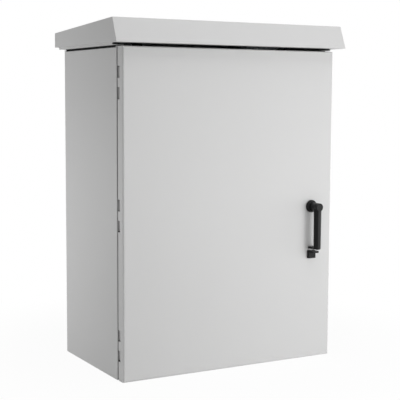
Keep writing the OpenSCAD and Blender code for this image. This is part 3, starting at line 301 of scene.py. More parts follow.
@dataclass(frozen=True)
class Moulded(Finish):
    """Injection moulded plastic, rubber or a coated casting: a fine grain from the tool's skin."""

    grain_mm: float = 0.9
    grain: float = 0.12
    sheen: float = 0.0
    coat: float = 0.0
    mirror: float = 0.5
    flow_mm: float = 38.0
    gloss_drift: float = 0.07
    grain_depth_mm: float = 0.3
    coat_roughness: float = 0.18

    def surface(self, tree: bpy.types.NodeTree, shader: bpy.types.Node, place: bpy.types.NodeSocket) -> None:
        """Gives the mould's grain as relief, and flow marks as a drift of tone and gloss.

        Args:
            tree: the material's tree.
            shader: the principled shader.
            place: object coordinates.
        """
        flow = add(tree, "ShaderNodeTexNoise",
                   {"Vector": place, "Scale": 1 / (self.flow_mm * MM), "Detail": 3.0, "Distortion": 0.6})
        tone = add(tree, "ShaderNodeMix",
                   {"Factor": flow.outputs["Fac"], 6: linear(self.shade), 7: linear(self.colour)},
                   data_type="RGBA")
        grain = add(tree, "ShaderNodeTexVoronoi", {"Vector": place, "Scale": 1 / (self.grain_mm * MM)},
                    feature="SMOOTH_F1")
        gloss = add(tree, "ShaderNodeMapRange",
                    {"Value": flow.outputs["Fac"], "To Min": self.roughness - self.gloss_drift,
                     "To Max": self.roughness + self.gloss_drift})
        relief = add(tree, "ShaderNodeBump",
                     {"Height": grain.outputs["Distance"], "Strength": self.grain,
                      "Distance": self.grain_depth_mm * MM})
        fill(tree, shader, {"Base Color": tone.outputs[2], "Roughness": gloss.outputs["Result"],
                            "Normal": relief.outputs["Normal"]})
        fill(tree, shader, {"Sheen Weight": self.sheen, "Coat Weight": self.coat,
                            "Coat Roughness": self.coat_roughness, "Specular IOR Level": self.mirror})


@dataclass(frozen=True)
class Clear(Moulded):
    """Clear moulded plastic, as on relay covers and lamp lenses."""

    passes: float = 0.4
    bends: float = 1.58

    def surface(self, tree: bpy.types.NodeTree, shader: bpy.types.Node, place: bpy.types.NodeSocket) -> None:
        """Adds to the moulded surface the light that passes through polycarbonate.

        Args:
            tree: the material's tree.
            shader: the principled shader.
            place: object coordinates.
        """
        Moulded.surface(self, tree, shader, place)
        fill(tree, shader, {"Transmission Weight": self.passes, "IOR": self.bends})


@dataclass(frozen=True)
class Spangled(Finish):
    """Hot dip galvanised sheet: crystals of zinc, each with its own tone and gloss."""

    crystal_mm: float = 11.0
    vein_mm: float = 7.0
    warp_mm: float = 5.0
    vein: float = 0.08
    vein_depth_mm: float = 0.2
    gloss_drift: float = 0.1

    def surface(self, tree: bpy.types.NodeTree, shader: bpy.types.Node, place: bpy.types.NodeSocket) -> None:
        """Gives each crystal a tone and a gloss of its own, with feathered veins inside.

        Args:
            tree: the material's tree.
            shader: the principled shader.
            place: object coordinates.
        """
        bend = add(tree, "ShaderNodeTexNoise",
                   {"Vector": place, "Scale": 1 / (self.vein_mm * MM), "Detail": 2.0})
        warp = add(tree, "ShaderNodeVectorMath",
                   {0: bend.outputs["Color"], 1: (self.warp_mm * MM,) * 3}, operation="MULTIPLY")
        moved = add(tree, "ShaderNodeVectorMath", {0: place, 1: warp.outputs["Vector"]}, operation="ADD")
        crystal = add(tree, "ShaderNodeTexVoronoi",
                      {"Vector": moved.outputs["Vector"], "Scale": 1 / (self.crystal_mm * MM)})
        grey = add(tree, "ShaderNodeSeparateColor", {"Color": crystal.outputs["Color"]})
        tone = add(tree, "ShaderNodeMix",
                   {"Factor": grey.outputs["Red"], 6: linear(self.shade), 7: linear(self.colour)},
                   data_type="RGBA")
        gloss = add(tree, "ShaderNodeMapRange",
                    {"Value": grey.outputs["Green"], "To Min": self.roughness - self.gloss_drift,
                     "To Max": self.roughness + self.gloss_drift})
        relief = add(tree, "ShaderNodeBump",
                     {"Height": bend.outputs["Fac"], "Strength": self.vein,
                      "Distance": self.vein_depth_mm * MM})
        fill(tree, shader, {"Base Color": tone.outputs[2], "Roughness": gloss.outputs["Result"],
                            "Normal": relief.outputs["Normal"]})
        shader.inputs["Metallic"].default_value = 1.0


@dataclass(frozen=True)
class Drawn(Finish):
    """Drawn, rolled or brushed metal: fine lines along one axis, with a drift of tone."""

    line_mm: float = 0.6
    along: Point = (0.03, 1.0, 1.0)
    line: float = 0.12
    line_depth_mm: float = 0.1
    drift_mm: float = 26.0
    gloss_down: float = 0.08
    gloss_up: float = 0.1
    dull_least: float = 0.1
    dull_most: float = 0.42

    def surface(self, tree: bpy.types.NodeTree, shader: bpy.types.Node, place: bpy.types.NodeSocket) -> None:
        """Gives the lines by a noise that is stretched along the working direction.

        Args:
            tree: the material's tree.
            shader: the principled shader.
            place: object coordinates.
        """
        laid = add(tree, "ShaderNodeMapping", {"Vector": place, "Scale": self.along})
        lines = add(tree, "ShaderNodeTexNoise",
                    {"Vector": laid.outputs["Vector"], "Scale": 1 / (self.line_mm * MM), "Detail": 3.0})
        drift = add(tree, "ShaderNodeTexNoise",
                    {"Vector": place, "Scale": 1 / (self.drift_mm * MM), "Detail": 3.0})
        both = add(tree, "ShaderNodeMath", {0: lines.outputs["Fac"], 1: drift.outputs["Fac"]},
                   operation="MULTIPLY")
        spread = add(tree, "ShaderNodeMapRange",
                     {"Value": both.outputs["Value"], "From Min": self.dull_least,
                      "From Max": self.dull_most})
        tone = add(tree, "ShaderNodeMix",
                   {"Factor": spread.outputs["Result"], 6: linear(self.shade), 7: linear(self.colour)},
                   data_type="RGBA")
        gloss = add(tree, "ShaderNodeMapRange",
                    {"Value": lines.outputs["Fac"], "To Min": self.roughness - self.gloss_down,
                     "To Max": self.roughness + self.gloss_up})
        relief = add(tree, "ShaderNodeBump",
                     {"Height": lines.outputs["Fac"], "Strength": self.line,
                      "Distance": self.line_depth_mm * MM})
        fill(tree, shader, {"Base Color": tone.outputs[2], "Roughness": gloss.outputs["Result"],
                            "Normal": relief.outputs["Normal"]})
        shader.inputs["Metallic"].default_value = 1.0


@dataclass(frozen=True)
class DotWindow(Finish):
    """Glass over a dot display that is off: dark green grey with the raster just visible."""

    dot_mm: float = 2.2
    gap_share: float = 0.12
    smear_mm: float = 30.0
    smear: float = 0.12
    coat: float = 0.6
    coat_roughness: float = 0.04

    def surface(self, tree: bpy.types.NodeTree, shader: bpy.types.Node, place: bpy.types.NodeSocket) -> None:
        """Gives the raster of dots below a glossy window.

        The real raster is about 0.7 mm and is drawn coarser, so that it shows.

        Args:
            tree: the material's tree.
            shader: the principled shader.
            place: object coordinates.
        """
        turned = add(tree, "ShaderNodeMapping", {"Vector": place, "Rotation": (math.radians(90), 0, 0)})
        raster = add(tree, "ShaderNodeTexBrick",
                     {"Vector": turned.outputs["Vector"], "Color1": linear(self.colour),
                      "Color2": linear(self.colour), "Mortar": linear(self.shade), "Scale": 1.0,
                      "Mortar Size": self.gap_share * self.dot_mm * MM, "Brick Width": self.dot_mm * MM,
                      "Row Height": self.dot_mm * MM}, offset=0.0)
        smear = add(tree, "ShaderNodeTexNoise",
                    {"Vector": place, "Scale": 1 / (self.smear_mm * MM), "Detail": 4.0})
        gloss = add(tree, "ShaderNodeMapRange",
                    {"Value": smear.outputs["Fac"], "To Min": self.roughness,
                     "To Max": self.roughness + self.smear})
        fill(tree, shader, {"Base Color": raster.outputs["Color"], "Roughness": gloss.outputs["Result"],
                            "Coat Weight": self.coat, "Coat Roughness": self.coat_roughness})


@dataclass(frozen=True)
class KeyFilm(Finish):
    """Embossed polyester film over a keypad: pale keys on a dark field."""

    field_y: float = 0.0
    blur_mm: float = 0.3
    grain_mm: float = 0.5
    grain: float = 0.15
    grain_depth_mm: float = 0.1

    def surface(self, tree: bpy.types.NodeTree, shader: bpy.types.Node, place: bpy.types.NodeSocket) -> None:
        """Prints the raised keys pale and the field between them dark.

        Args:
            tree: the material's tree.
            shader: the principled shader.
            place: object coordinates.
        """
        parts = add(tree, "ShaderNodeSeparateXYZ", {"Vector": place})
        raised = add(tree, "ShaderNodeMapRange",
                     {"Value": parts.outputs["Y"], "From Min": self.field_y,
                      "From Max": self.field_y - self.blur_mm * MM})
        tone = add(tree, "ShaderNodeMix",
                   {"Factor": raised.outputs["Result"], 6: linear(self.shade), 7: linear(self.colour)},
                   data_type="RGBA")
        grain = add(tree, "ShaderNodeTexNoise",
                    {"Vector": place, "Scale": 1 / (self.grain_mm * MM), "Detail": 1.0})
        relief = add(tree, "ShaderNodeBump",
                     {"Height": grain.outputs["Fac"], "Strength": self.grain,
                      "Distance": self.grain_depth_mm * MM})
        fill(tree, shader, {"Base Color": tone.outputs[2], "Normal": relief.outputs["Normal"],
                            "Roughness": self.roughness})


# Light grey coat of the sheet metal: reads as an even satin, a touch lighter where it drifts
COAT = PowderCoat("light_grey_polyester_powder_coat", Slot.COAT, "#CFCFCF", "#CCCCCC", 0.46)
# Black coat on die cast zinc: deep black with a soft sheen on the rounded edges
CASTING = Moulded("black_coated_die_cast_zinc", Slot.CASTING, "#080809", "#060607", 0.32,
                  grain_mm=0.8, grain=0.06, mirror=0.19)
# Zinc plate on turned and folded steel: bright, slightly blue, with drawing lines
ZINC = Drawn("blue_zinc_plated_steel", Slot.ZINC, "#CBD0D4", "#A3AAB0", 0.3,
             line_mm=0.7, along=(1.0, 1.0, 0.05))
# Galvanised sheet of the mounting panel and the shelf: broad dull crystals
SPANGLE = Spangled("hot_dip_galvanised_sheet", Slot.GALVANISED, "#C3C8CB", "#979EA3", 0.42)
# Foam and sheet rubber of the seals: matt black, open grained
RUBBER = Moulded("black_epdm_foam_rubber", Slot.RUBBER, "#121213", "#0B0B0C", 0.86,
                 grain_mm=1.3, grain=0.35, mirror=0.15)
# Brushed aluminium of the plug-in units' cases
ALUMINIUM = Drawn("brushed_aluminium_case", Slot.ALUMINIUM, "#C2C6C9", "#9EA3A8", 0.36,
                  line_mm=0.8, along=(1.0, 0.03, 1.0))
# Dark textured paint of the units' front plates
FRONT = Moulded("dark_texture_painted_front", Slot.FRONT, "#3B4047", "#33373D", 0.5,
                grain_mm=0.9, grain=0.22)
# Glass of the controller's display, off
WINDOW = DotWindow("display_glass_over_dots", Slot.WINDOW, "#2C3A33", "#1C2621", 0.16)
# Embossed film of the keypad: its keys stand this many millimetres above the dark field
KEY_RISE = 1.4
FILM = KeyFilm("embossed_polyester_key_film", Slot.MEMBRANE, "#B9BEC2", "#2B2F34", 0.46,
               field_y=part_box("controller_keypad")[0].y + KEY_RISE * MM)
# Black moulded plastic of plugs, guides and module housings
BLACK = Moulded("black_moulded_polyamide", Slot.BLACK_PLASTIC, "#222326", "#1A1B1D", 0.46,
                grain_mm=0.8, grain=0.16)
# Smoke grey clear cover of the transfer relay
SMOKE = Clear("smoked_polycarbonate", Slot.CLEAR_PLASTIC, "#7C8388", "#6B7277", 0.17,
              grain_mm=2.0, grain=0.02)
# Light grey moulded plastic of breakers and lamp
LIGHT = Moulded("light_grey_moulded_polyamide", Slot.LIGHT_PLASTIC, "#D5D6D2", "#CACBC7", 0.42,
                grain_mm=0.9, grain=0.1)
# Opal cover of the lamp: milky, with a soft gloss
OPAL = Clear("opal_polycarbonate_diffuser", Slot.LIGHT_PLASTIC, "#ECECE6", "#E2E2DC", 0.32,
             grain_mm=2.6, grain=0.05, passes=0.15)
# Mid grey moulded plastic of terminal strips and arrester
GREY = Moulded("mid_grey_moulded_polyamide", Slot.GREY_PLASTIC, "#868B8F", "#7A7F83", 0.45,
               grain_mm=0.9, grain=0.12)
# White nylon of spacers and rollers: waxy and soft edged
NYLON = Moulded("white_turned_nylon", Slot.NYLON, "#E1E0DA", "#D4D3CC", 0.4,
                grain_mm=1.1, grain=0.06, sheen=0.1)
# Drawn brass of the ground and neutral bars
BRASS = Drawn("drawn_brass_bar", Slot.BRASS, "#D2AE5C", "#A98336", 0.27,
              line_mm=0.5, along=(0.03, 1.0, 1.0))
# Glossy red polyester of the stand-off insulators
INSULATOR = Moulded("red_polyester_insulator", Slot.INSULATOR, "#8E2018", "#7A1812", 0.24,
                    grain_mm=1.2, grain=0.04, coat=0.3)
# Coloured epoxy lenses of the signal lamps on the modules, unlit
LENSES = tuple(
    Clear(f"{hue}_epoxy_lens", Slot.CLEAR_PLASTIC, colour, shade, 0.14,
          grain_mm=1.6, grain=0.02, coat=0.4, passes=0.25)
    for hue, colour, shade in (("red", "#B0241E", "#8C1A15"), ("amber", "#D38B1C", "#B57312"),
                               ("green", "#2E8B4A", "#22703A")))


@dataclass(frozen=True)
class Spot:
    """A place for a repeated head: a point in millimetres and the way it faces."""

    at: Point
    facing: Point = OUTWARD


@dataclass(frozen=True)
class HeadSet:
    """Small turned heads that repeat, made by one Geometry Nodes tree for each profile."""

    head: Head
    diameter: float
    height: float
    recess: float
    finish: Finish
    sides: int = 18
    rings: int = 6
    slot_share: float = 0.22
    seed: int = 7

    def tree(self) -> bpy.types.NodeTree:
        """Builds the tree that turns points into heads.

        Returns:
            A tree with named inputs for the sizes and the material.
        """
        name = f"{self.head.name.lower()}_{'crossed' if self.recess else 'plain'}_heads"
        found = bpy.data.node_groups.get(name)
        if found is not None:
            return found
        tree = bpy.data.node_groups.new(name, "GeometryNodeTree")
        faces = tree.interface
        faces.new_socket(name="Points", in_out="INPUT", socket_type="NodeSocketGeometry")
        for label in ("Diameter", "Height", "Recess"):
            faces.new_socket(name=label, in_out="INPUT", socket_type="NodeSocketFloat")
        for label in ("Sides", "Seed"):
            faces.new_socket(name=label, in_out="INPUT", socket_type="NodeSocketInt")
        faces.new_socket(name="Material", in_out="INPUT", socket_type="NodeSocketMaterial")
        faces.new_socket(name="Heads", in_out="OUTPUT", socket_type="NodeSocketGeometry")
        given = add(tree, "NodeGroupInput").outputs
        radius = add(tree, "ShaderNodeMath", {0: given["Diameter"], 1: 0.5}, operation="MULTIPLY")
        blank = add(tree, "GeometryNodeMeshCylinder",
                    {"Vertices": given["Sides"], "Side Segments": self.rings, "Radius": radius.outputs[0],
                     "Depth": given["Height"]})
        where = add(tree, "GeometryNodeInputPosition")
        parts = add(tree, "ShaderNodeSeparateXYZ", {"Vector": where.outputs["Position"]})
        share = add(tree, "ShaderNodeMath", {0: parts.outputs["Z"], 1: given["Height"]}, operation="DIVIDE")
        level = add(tree, "ShaderNodeMath", {0: share.outputs[0], 1: 0.5}, operation="ADD")
        curve = add(tree, "ShaderNodeFloatCurve", {"Value": level.outputs[0]})
        line = curve.mapping.curves[0]
        profile = self.head.value
        line.points[0].location, line.points[-1].location = profile[0], profile[-1]
        for x, y in profile[1:-1]:
            line.points.new(x, y)
        curve.mapping.update()
        across = add(tree, "ShaderNodeCombineXYZ",
                     {"X": curve.outputs["Value"], "Y": curve.outputs["Value"], "Z": 1.0})
        turned = add(tree, "ShaderNodeVectorMath",
                     {0: where.outputs["Position"], 1: across.outputs["Vector"]}, operation="MULTIPLY")
        half = add(tree, "ShaderNodeMath", {0: given["Height"], 1: 0.5}, operation="MULTIPLY")
        lift = add(tree, "ShaderNodeCombineXYZ", {"Z": half.outputs[0]})
        shape = add(tree, "GeometryNodeSetPosition",
                    {"Geometry": blank.outputs["Mesh"], "Position": turned.outputs["Vector"],
                     "Offset": lift.outputs["Vector"]}).outputs["Geometry"]
        if self.recess:
            wide = add(tree, "ShaderNodeMath", {0: given["Recess"], 1: self.slot_share}, operation="MULTIPLY")
            first = add(tree, "ShaderNodeCombineXYZ",
                        {"X": given["Recess"], "Y": wide.outputs[0], "Z": given["Height"]})
            second = add(tree, "ShaderNodeCombineXYZ",
                         {"X": wide.outputs[0], "Y": given["Recess"], "Z": given["Height"]})
            top = add(tree, "ShaderNodeCombineXYZ", {"Z": given["Height"]})
            cut = add(tree, "GeometryNodeMeshBoolean", {"Mesh 1": shape}, operation="DIFFERENCE")
            for size in (first, second):
                slot = add(tree, "GeometryNodeMeshCube", {"Size": size.outputs["Vector"]})
                sunk = add(tree, "GeometryNodeTransform",
                           {"Geometry": slot.outputs["Mesh"], "Translation": top.outputs["Vector"]})
                tree.links.new(sunk.outputs["Geometry"], cut.inputs["Mesh 2"])
            shape = cut.outputs["Mesh"]
        facing = add(tree, "GeometryNodeInputNamedAttribute", {"Name": "facing"}, data_type="FLOAT_VECTOR")
        upright = add(tree, "FunctionNodeAlignRotationToVector",
                      {"Vector": facing.outputs["Attribute"]}, axis="Z")
        chance = add(tree, "FunctionNodeRandomValue", {"Seed": given["Seed"], 3: math.tau}, data_type="FLOAT")
        twist = add(tree, "FunctionNodeAxisAngleToRotation", {"Angle": chance.outputs[1]})
        spun = add(tree, "FunctionNodeRotateRotation",
                   {"Rotation": upright.outputs["Rotation"], "Rotate By": twist.outputs["Rotation"]},
                   rotation_space="LOCAL")
        laid = add(tree, "GeometryNodeInstanceOnPoints",
                   {"Points": given["Points"], "Instance": shape, "Rotation": spun.outputs["Rotation"]})
        real = add(tree, "GeometryNodeRealizeInstances", {"Geometry": laid.outputs["Instances"]})
        dressed = add(tree, "GeometryNodeSetMaterial",
                      {"Geometry": real.outputs["Geometry"], "Material": given["Material"]})
        add(tree, "NodeGroupOutput", {"Heads": dressed.outputs["Geometry"]})
        return tree

    def lay(self, name: str, spots: Sequence[Spot]) -> bpy.types.Object:
        """Puts one head on each spot and gives them as one plain mesh.

        Args:
            name: the piece's name.
            spots: where the heads sit and which way they face.

        Returns:
            The new piece.
        """
        mesh = bpy.data.meshes.new(name)
        mesh.from_pydata([Vector(s.at) * MM for s in spots], [], [])
        facing = mesh.attributes.new("facing", "FLOAT_VECTOR", "POINT")
        facing.data.foreach_set("vector", [x for s in spots for x in s.facing])
        piece = shown(name, mesh)
        tree = self.tree()
        sockets = {item.name: item.identifier for item in tree.interface.items_tree}
        nodes = piece.modifiers.new("heads", "NODES")
        nodes.node_group = tree
        for label, value in (("Diameter", self.diameter * MM), ("Height", self.height * MM),
                             ("Recess", self.recess * MM), ("Sides", self.sides), ("Seed", self.seed),
                             ("Material", self.finish.material())):
            nodes[sockets[label]] = value
        smoothed(piece, HEAD_SHARP_DEG)
        return piece


@dataclass(frozen=True)
class Fold:
    """The bends of a folded sheet: their outer radius and the sheet's thickness."""

    radius: float
    sheet: float

    def width(self, line: bmesh.types.BMEdge, edge: float) -> float:
        """Gives how wide an edge of the sheet is rounded.

        Args:
            line: the edge.
            edge: width of the broken free edges.

        Returns:
            The outer radius, the inner radius or the free edge's width.
        """
        slim = min(2 * face.calc_area() / face.calc_perimeter() for face in line.link_faces)
        if slim < 2 * self.sheet * MM:
            return edge
        return self.radius if line.is_convex else self.radius - self.sheet


@dataclass
class Piece:
    """A finished mesh, its finish, the body it rides on and the node it stands for."""

    mesh: bpy.types.Object
    finish: Finish
    body: str
    stands_for: str | None = None

    def settle(self) -> None:
        """Gives the mesh its material and ties it to the frame."""
        if not self.mesh.data.materials:
            self.mesh.data.materials.append(self.finish.material())
        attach(self.mesh, self.body)
        if self.stands_for is not None:
            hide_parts(self.stands_for)
        LOG.info("%s rides on %s in %s", self.mesh.name, self.body, self.finish.name)


@dataclass
class Assembly:
    """What every sub-assembly shares: its pieces and the steps that dress them."""

    pieces: list[Piece] = field(default_factory=list, init=False)

    def build(self) -> None:
        """Builds the sub-assembly's meshes."""
        raise NotImplementedError

    def dress(self) -> None:
        """Dresses each built piece and ties it to its body."""
        for piece in self.pieces:
            piece.settle()

    def soften(self, node: str, edge: float, finish: Finish, steps: int = 2, above: float = 50.0,
               fold: Fold | None = None, ringed: bool = False) -> None:
        """Copies a node with its edges broken, as folding, moulding and coating leave them.

        Args:
            node: the node that the copy stands for.
            edge: width of the broken edge.
            finish: the copy's finish.
            steps: number of facets across the edge.
            above: edges over this angle in degrees are broken.
            fold: the bends of a folded sheet, where the node has them.
            ringed: whether faces that go round an opening are split first, so that they stay flat.
        """
        source = frame["nodes"][node]
        work = bmesh.new()
        work.from_mesh(source.data)
        bmesh.ops.remove_doubles(work, verts=work.verts, dist=MERGE_M)
        bmesh.ops.dissolve_limit(work, angle_limit=math.radians(FLAT_DEG), verts=work.verts,
                                 edges=work.edges)
        widest = max(edge, fold.radius) if fold else edge
        share = work.edges.layers.float.new("bevel_weight_edge")
        for line in work.edges:
            if line.calc_face_angle(0.0) > math.radians(above):
                line[share] = (fold.width(line, edge) if fold else edge) / widest
        if ringed:
            bmesh.ops.connect_verts_concave(work, faces=work.faces)
        mesh = bpy.data.meshes.new(f"{node}_finished")
        work.to_mesh(mesh)
        work.free()
        piece = shown(mesh.name, mesh)
        bevel = piece.modifiers.new("edges", "BEVEL")
        bevel.width = widest * MM
        bevel.segments = steps
        bevel.limit_method = "WEIGHT"
        bevel.miter_outer = "MITER_ARC"
        smoothed(piece, PIECE_SHARP_DEG)
        self.pieces.append(Piece(piece, finish, source["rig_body"], node))

    def heads(self, name: str, body: Body, kind: HeadSet, spots: Sequence[Spot]) -> None:
        """Adds a set of repeated heads.

        Args:
            name: the piece's name.
            body: the body that the heads ride on.
            kind: the heads' shape and finish.
            spots: where they sit.
        """
        self.pieces.append(Piece(kind.lay(name, spots), kind.finish, body.value))


@dataclass
class Enclosure(Assembly):
    """The folded body, its seal, the rain hood and the cable entry."""

    sheet_edge: float = 0.35
    seal_edge: float = 0.35
    hood_fold: Fold = Fold(3.0, 1.5)
    hood_above: float = 20.0
    rail_edge: float = 0.5
    disc_edge: float = 0.4
    bolt_edge: float = 0.4
    plate_edge: float = 0.4
    pad_edge: float = 0.6
    screw_edge: float = 0.6
    grommet_edge: float = 0.5

    def build(self) -> None:
        """Builds the body, the hood with its fixings, and the gland plate with its grommets."""
        self.soften("enclosure_body", self.sheet_edge, COAT)
        # Black rubber on the frame seal, partly a real seal and partly painted shade: it makes the gap round
        # the door black where the shade falls
        self.soften("frame_seal", self.seal_edge, RUBBER, ringed=True)
        self.soften("rain_hood", self.sheet_edge, COAT, steps=4, above=self.hood_above, fold=self.hood_fold)
        self.soften("hood_rails", self.rail_edge, SPANGLE)
        # Black rubber on the hood spacers and their side strips, partly real spacers and partly painted
        # shade: the strips make the band under the hood black where the shade falls
        self.soften("hood_spacers", self.disc_edge, RUBBER)
        self.soften("hood_bolts", self.bolt_edge, ZINC)
        self.soften("gland_plate", self.plate_edge, SPANGLE)
        self.soften("gland_seal", self.pad_edge, RUBBER)
        self.soften("gland_screws", self.screw_edge, ZINC)
        self.soften("cable_grommets", self.grommet_edge, RUBBER)


@dataclass
class Hinges(Assembly):
    """The three lift-off hinges."""

    leaf_edge: float = 0.4
    pin_edge: float = 0.6

    def build(self) -> None:
        """Builds the leaves and the pins."""
        self.soften("hinge_frame_leaves", self.leaf_edge, COAT)
        self.soften("hinge_door_leaves", self.leaf_edge, COAT)
        self.soften("hinge_pins", self.pin_edge, ZINC, steps=3)


@dataclass
class Door(Assembly):
    """The door pan with its gasket, stiffeners and document pocket."""

    sheet_edge: float = 0.35
    foam_edge: float = 3.2
    stiffener_edge: float = 0.8
    pocket_edge: float = 0.9

    def build(self) -> None:
        """Builds the pan and what is fixed to its inside."""
        self.soften("door_panel", self.sheet_edge, COAT)
        self.soften("door_gasket", self.foam_edge, RUBBER, steps=5, ringed=True)
        self.soften("door_stiffeners", self.stiffener_edge, COAT, steps=3)
        self.soften("document_pocket", self.pocket_edge, GREY, steps=3)


@dataclass
class Handle(Assembly):
    """The lever, its rosette and the padlock bracket on the door's face."""

    cast_edge: float = 0.7
    round_above: float = 70.0
    spindle_edge: float = 0.5

    def build(self) -> None:
        """Builds the cast pieces and the spindle."""
        self.soften("handle_rosette", self.cast_edge, CASTING, steps=3, above=self.round_above)
        self.soften("handle_lever", self.cast_edge, CASTING, steps=3, above=self.round_above)
        self.soften("padlock_bracket", self.cast_edge, CASTING, steps=3)
        self.soften("handle_spindle", self.spindle_edge, ZINC)


@dataclass
class Latch(Assembly):
    """The three point latch behind the handle."""

    case_edge: float = 0.8
    cover_edge: float = 0.5
    tooth_edge: float = 0.2
    guide_edge: float = 0.9
    rod_edge: float = 0.4
    roller_edge: float = 0.8
    spindle_x: float = 237.0
    spindle_z: float = 400.0
    cover_y: float = -144.5
    screw_x: float = 20.0
    screw_z: float = 32.0
    cover_screw: HeadSet = HeadSet(Head.PAN, 6.0, 2.2, 3.4, ZINC)

    def build(self) -> None:
        """Builds the case, the pinion, the rods with their guides, and the rollers."""
        self.soften("latch_case", self.case_edge, ZINC, ringed=True)
        self.soften("latch_cover", self.cover_edge, ZINC)
        self.soften("latch_pinion", self.tooth_edge, ZINC)
        self.soften("rod_guides", self.guide_edge, NYLON, ringed=True)
        for side in ("upper", "lower"):
            self.soften(f"{side}_latch_rod", self.rod_edge, ZINC)
            self.soften(f"{side}_roller", self.roller_edge, NYLON, steps=3)
        spots = [Spot((self.spindle_x + x, self.cover_y, self.spindle_z + z), INWARD)
                 for x in (-self.screw_x, self.screw_x) for z in (-self.screw_z, self.screw_z)]
        self.heads("latch_cover_screws", Body.DOOR, self.cover_screw, spots)


@dataclass(frozen=True)
class Plate:
    """A unit's front plate by its edges, standing on the shelf."""

    left: float
    right: float
    top: float
    base: float = 450.0

    def corners(self, y: float, inset: float) -> list[Spot]:
        """Gives the places of the screws near the plate's four corners.

        Args:
            y: the plate's front face.
            inset: distance of the screws from the edges.

        Returns:
            The four spots.
        """
        return [Spot((x, y, z)) for x in (self.left + inset, self.right - inset)
                for z in (self.base + inset, self.top - inset)]


@dataclass
class ControlUnits(Assembly):
    """The mounting panel, the shelf and the two plug-in units on it."""

    panel_edge: float = 0.5
    nut_edge: float = 0.4
    shelf_edge: float = 0.4
    unit_edge: float = 0.9
    window_edge: float = 0.4
    film_edge: float = 0.5
    front_y: float = -58.0
    inset: float = 8.0
    controller: Plate = Plate(-238.0, 56.0, 642.0)
    monitor: Plate = Plate(124.0, 238.0, 632.0)
    lamp_x: tuple[float, ...] = (184.0, 202.0, 220.0)
    lamp_z: float = 492.0
    lamp_rows: int = 8
    lamp_pitch: float = 14.0
    lens_diameter: float = 5.0
    lens_height: float = 2.4
    screw: HeadSet = HeadSet(Head.PAN, 7.5, 2.6, 4.2, ZINC)

    def build(self) -> None:
        """Builds the panel, the shelf, the controller and the monitor."""
        self.soften("mounting_panel", self.panel_edge, SPANGLE)
        self.soften("panel_nuts", self.nut_edge, ZINC)
        self.soften("equipment_shelf", self.shelf_edge, SPANGLE)
        self.soften("controller_case", self.unit_edge, ALUMINIUM, ringed=True)
        self.soften("controller_front", self.unit_edge, FRONT)
        self.soften("controller_display", self.window_edge, WINDOW)
        self.soften("controller_keypad", self.film_edge, FILM, ringed=True)
        self.soften("controller_connectors", self.unit_edge, BLACK)
        self.soften("monitor_case", self.unit_edge, ALUMINIUM, ringed=True)
        self.soften("monitor_front", self.unit_edge, FRONT)
        corners = [spot for plate in (self.controller, self.monitor)
                   for spot in plate.corners(self.front_y, self.inset)]
        self.heads("unit_front_screws", Body.CABINET, self.screw, corners)
        for x, lens in zip(self.lamp_x, LENSES):
            kind = HeadSet(Head.LENS, self.lens_diameter, self.lens_height, 0.0, lens)
            self.heads(f"monitor_lamps_{lens.name}", Body.CABINET, kind,
                       [Spot((x, self.front_y, self.lamp_z + i * self.lamp_pitch))
                        for i in range(self.lamp_rows)])


@dataclass
class LoadRack(Assembly):
    """The rack with its load switches, flasher and transfer relay."""

    rack_edge: float = 0.4
    module_edge: float = 1.2
    relay_edge: float = 2.5
    slots: tuple[float, ...] = (-135.0, -81.0, -27.0, 27.0)
    bezel_y: float = -2.0
    lamp_top: float = 364.0
    lamp_pitch: float = 16.0
    lens_diameter: float = 6.0
    lens_height: float = 2.8

    def build(self) -> None:
        """Builds the rack and its modules."""
        self.soften("load_rack", self.rack_edge, SPANGLE, ringed=True)
        for i in range(1, len(self.slots) + 1):
            self.soften(f"load_switch_{i}", self.module_edge, BLACK, steps=3, ringed=True)
        self.soften("flasher_module", self.module_edge, BLACK, steps=3, ringed=True)
        self.soften("transfer_relay", self.relay_edge, SMOKE, steps=4)
        for i, lens in enumerate(LENSES):
            kind = HeadSet(Head.LENS, self.lens_diameter, self.lens_height, 0.0, lens)
            self.heads(f"load_switch_lamps_{lens.name}", Body.CABINET, kind,
                       [Spot((x, self.bezel_y, self.lamp_top - i * self.lamp_pitch)) for x in self.slots])


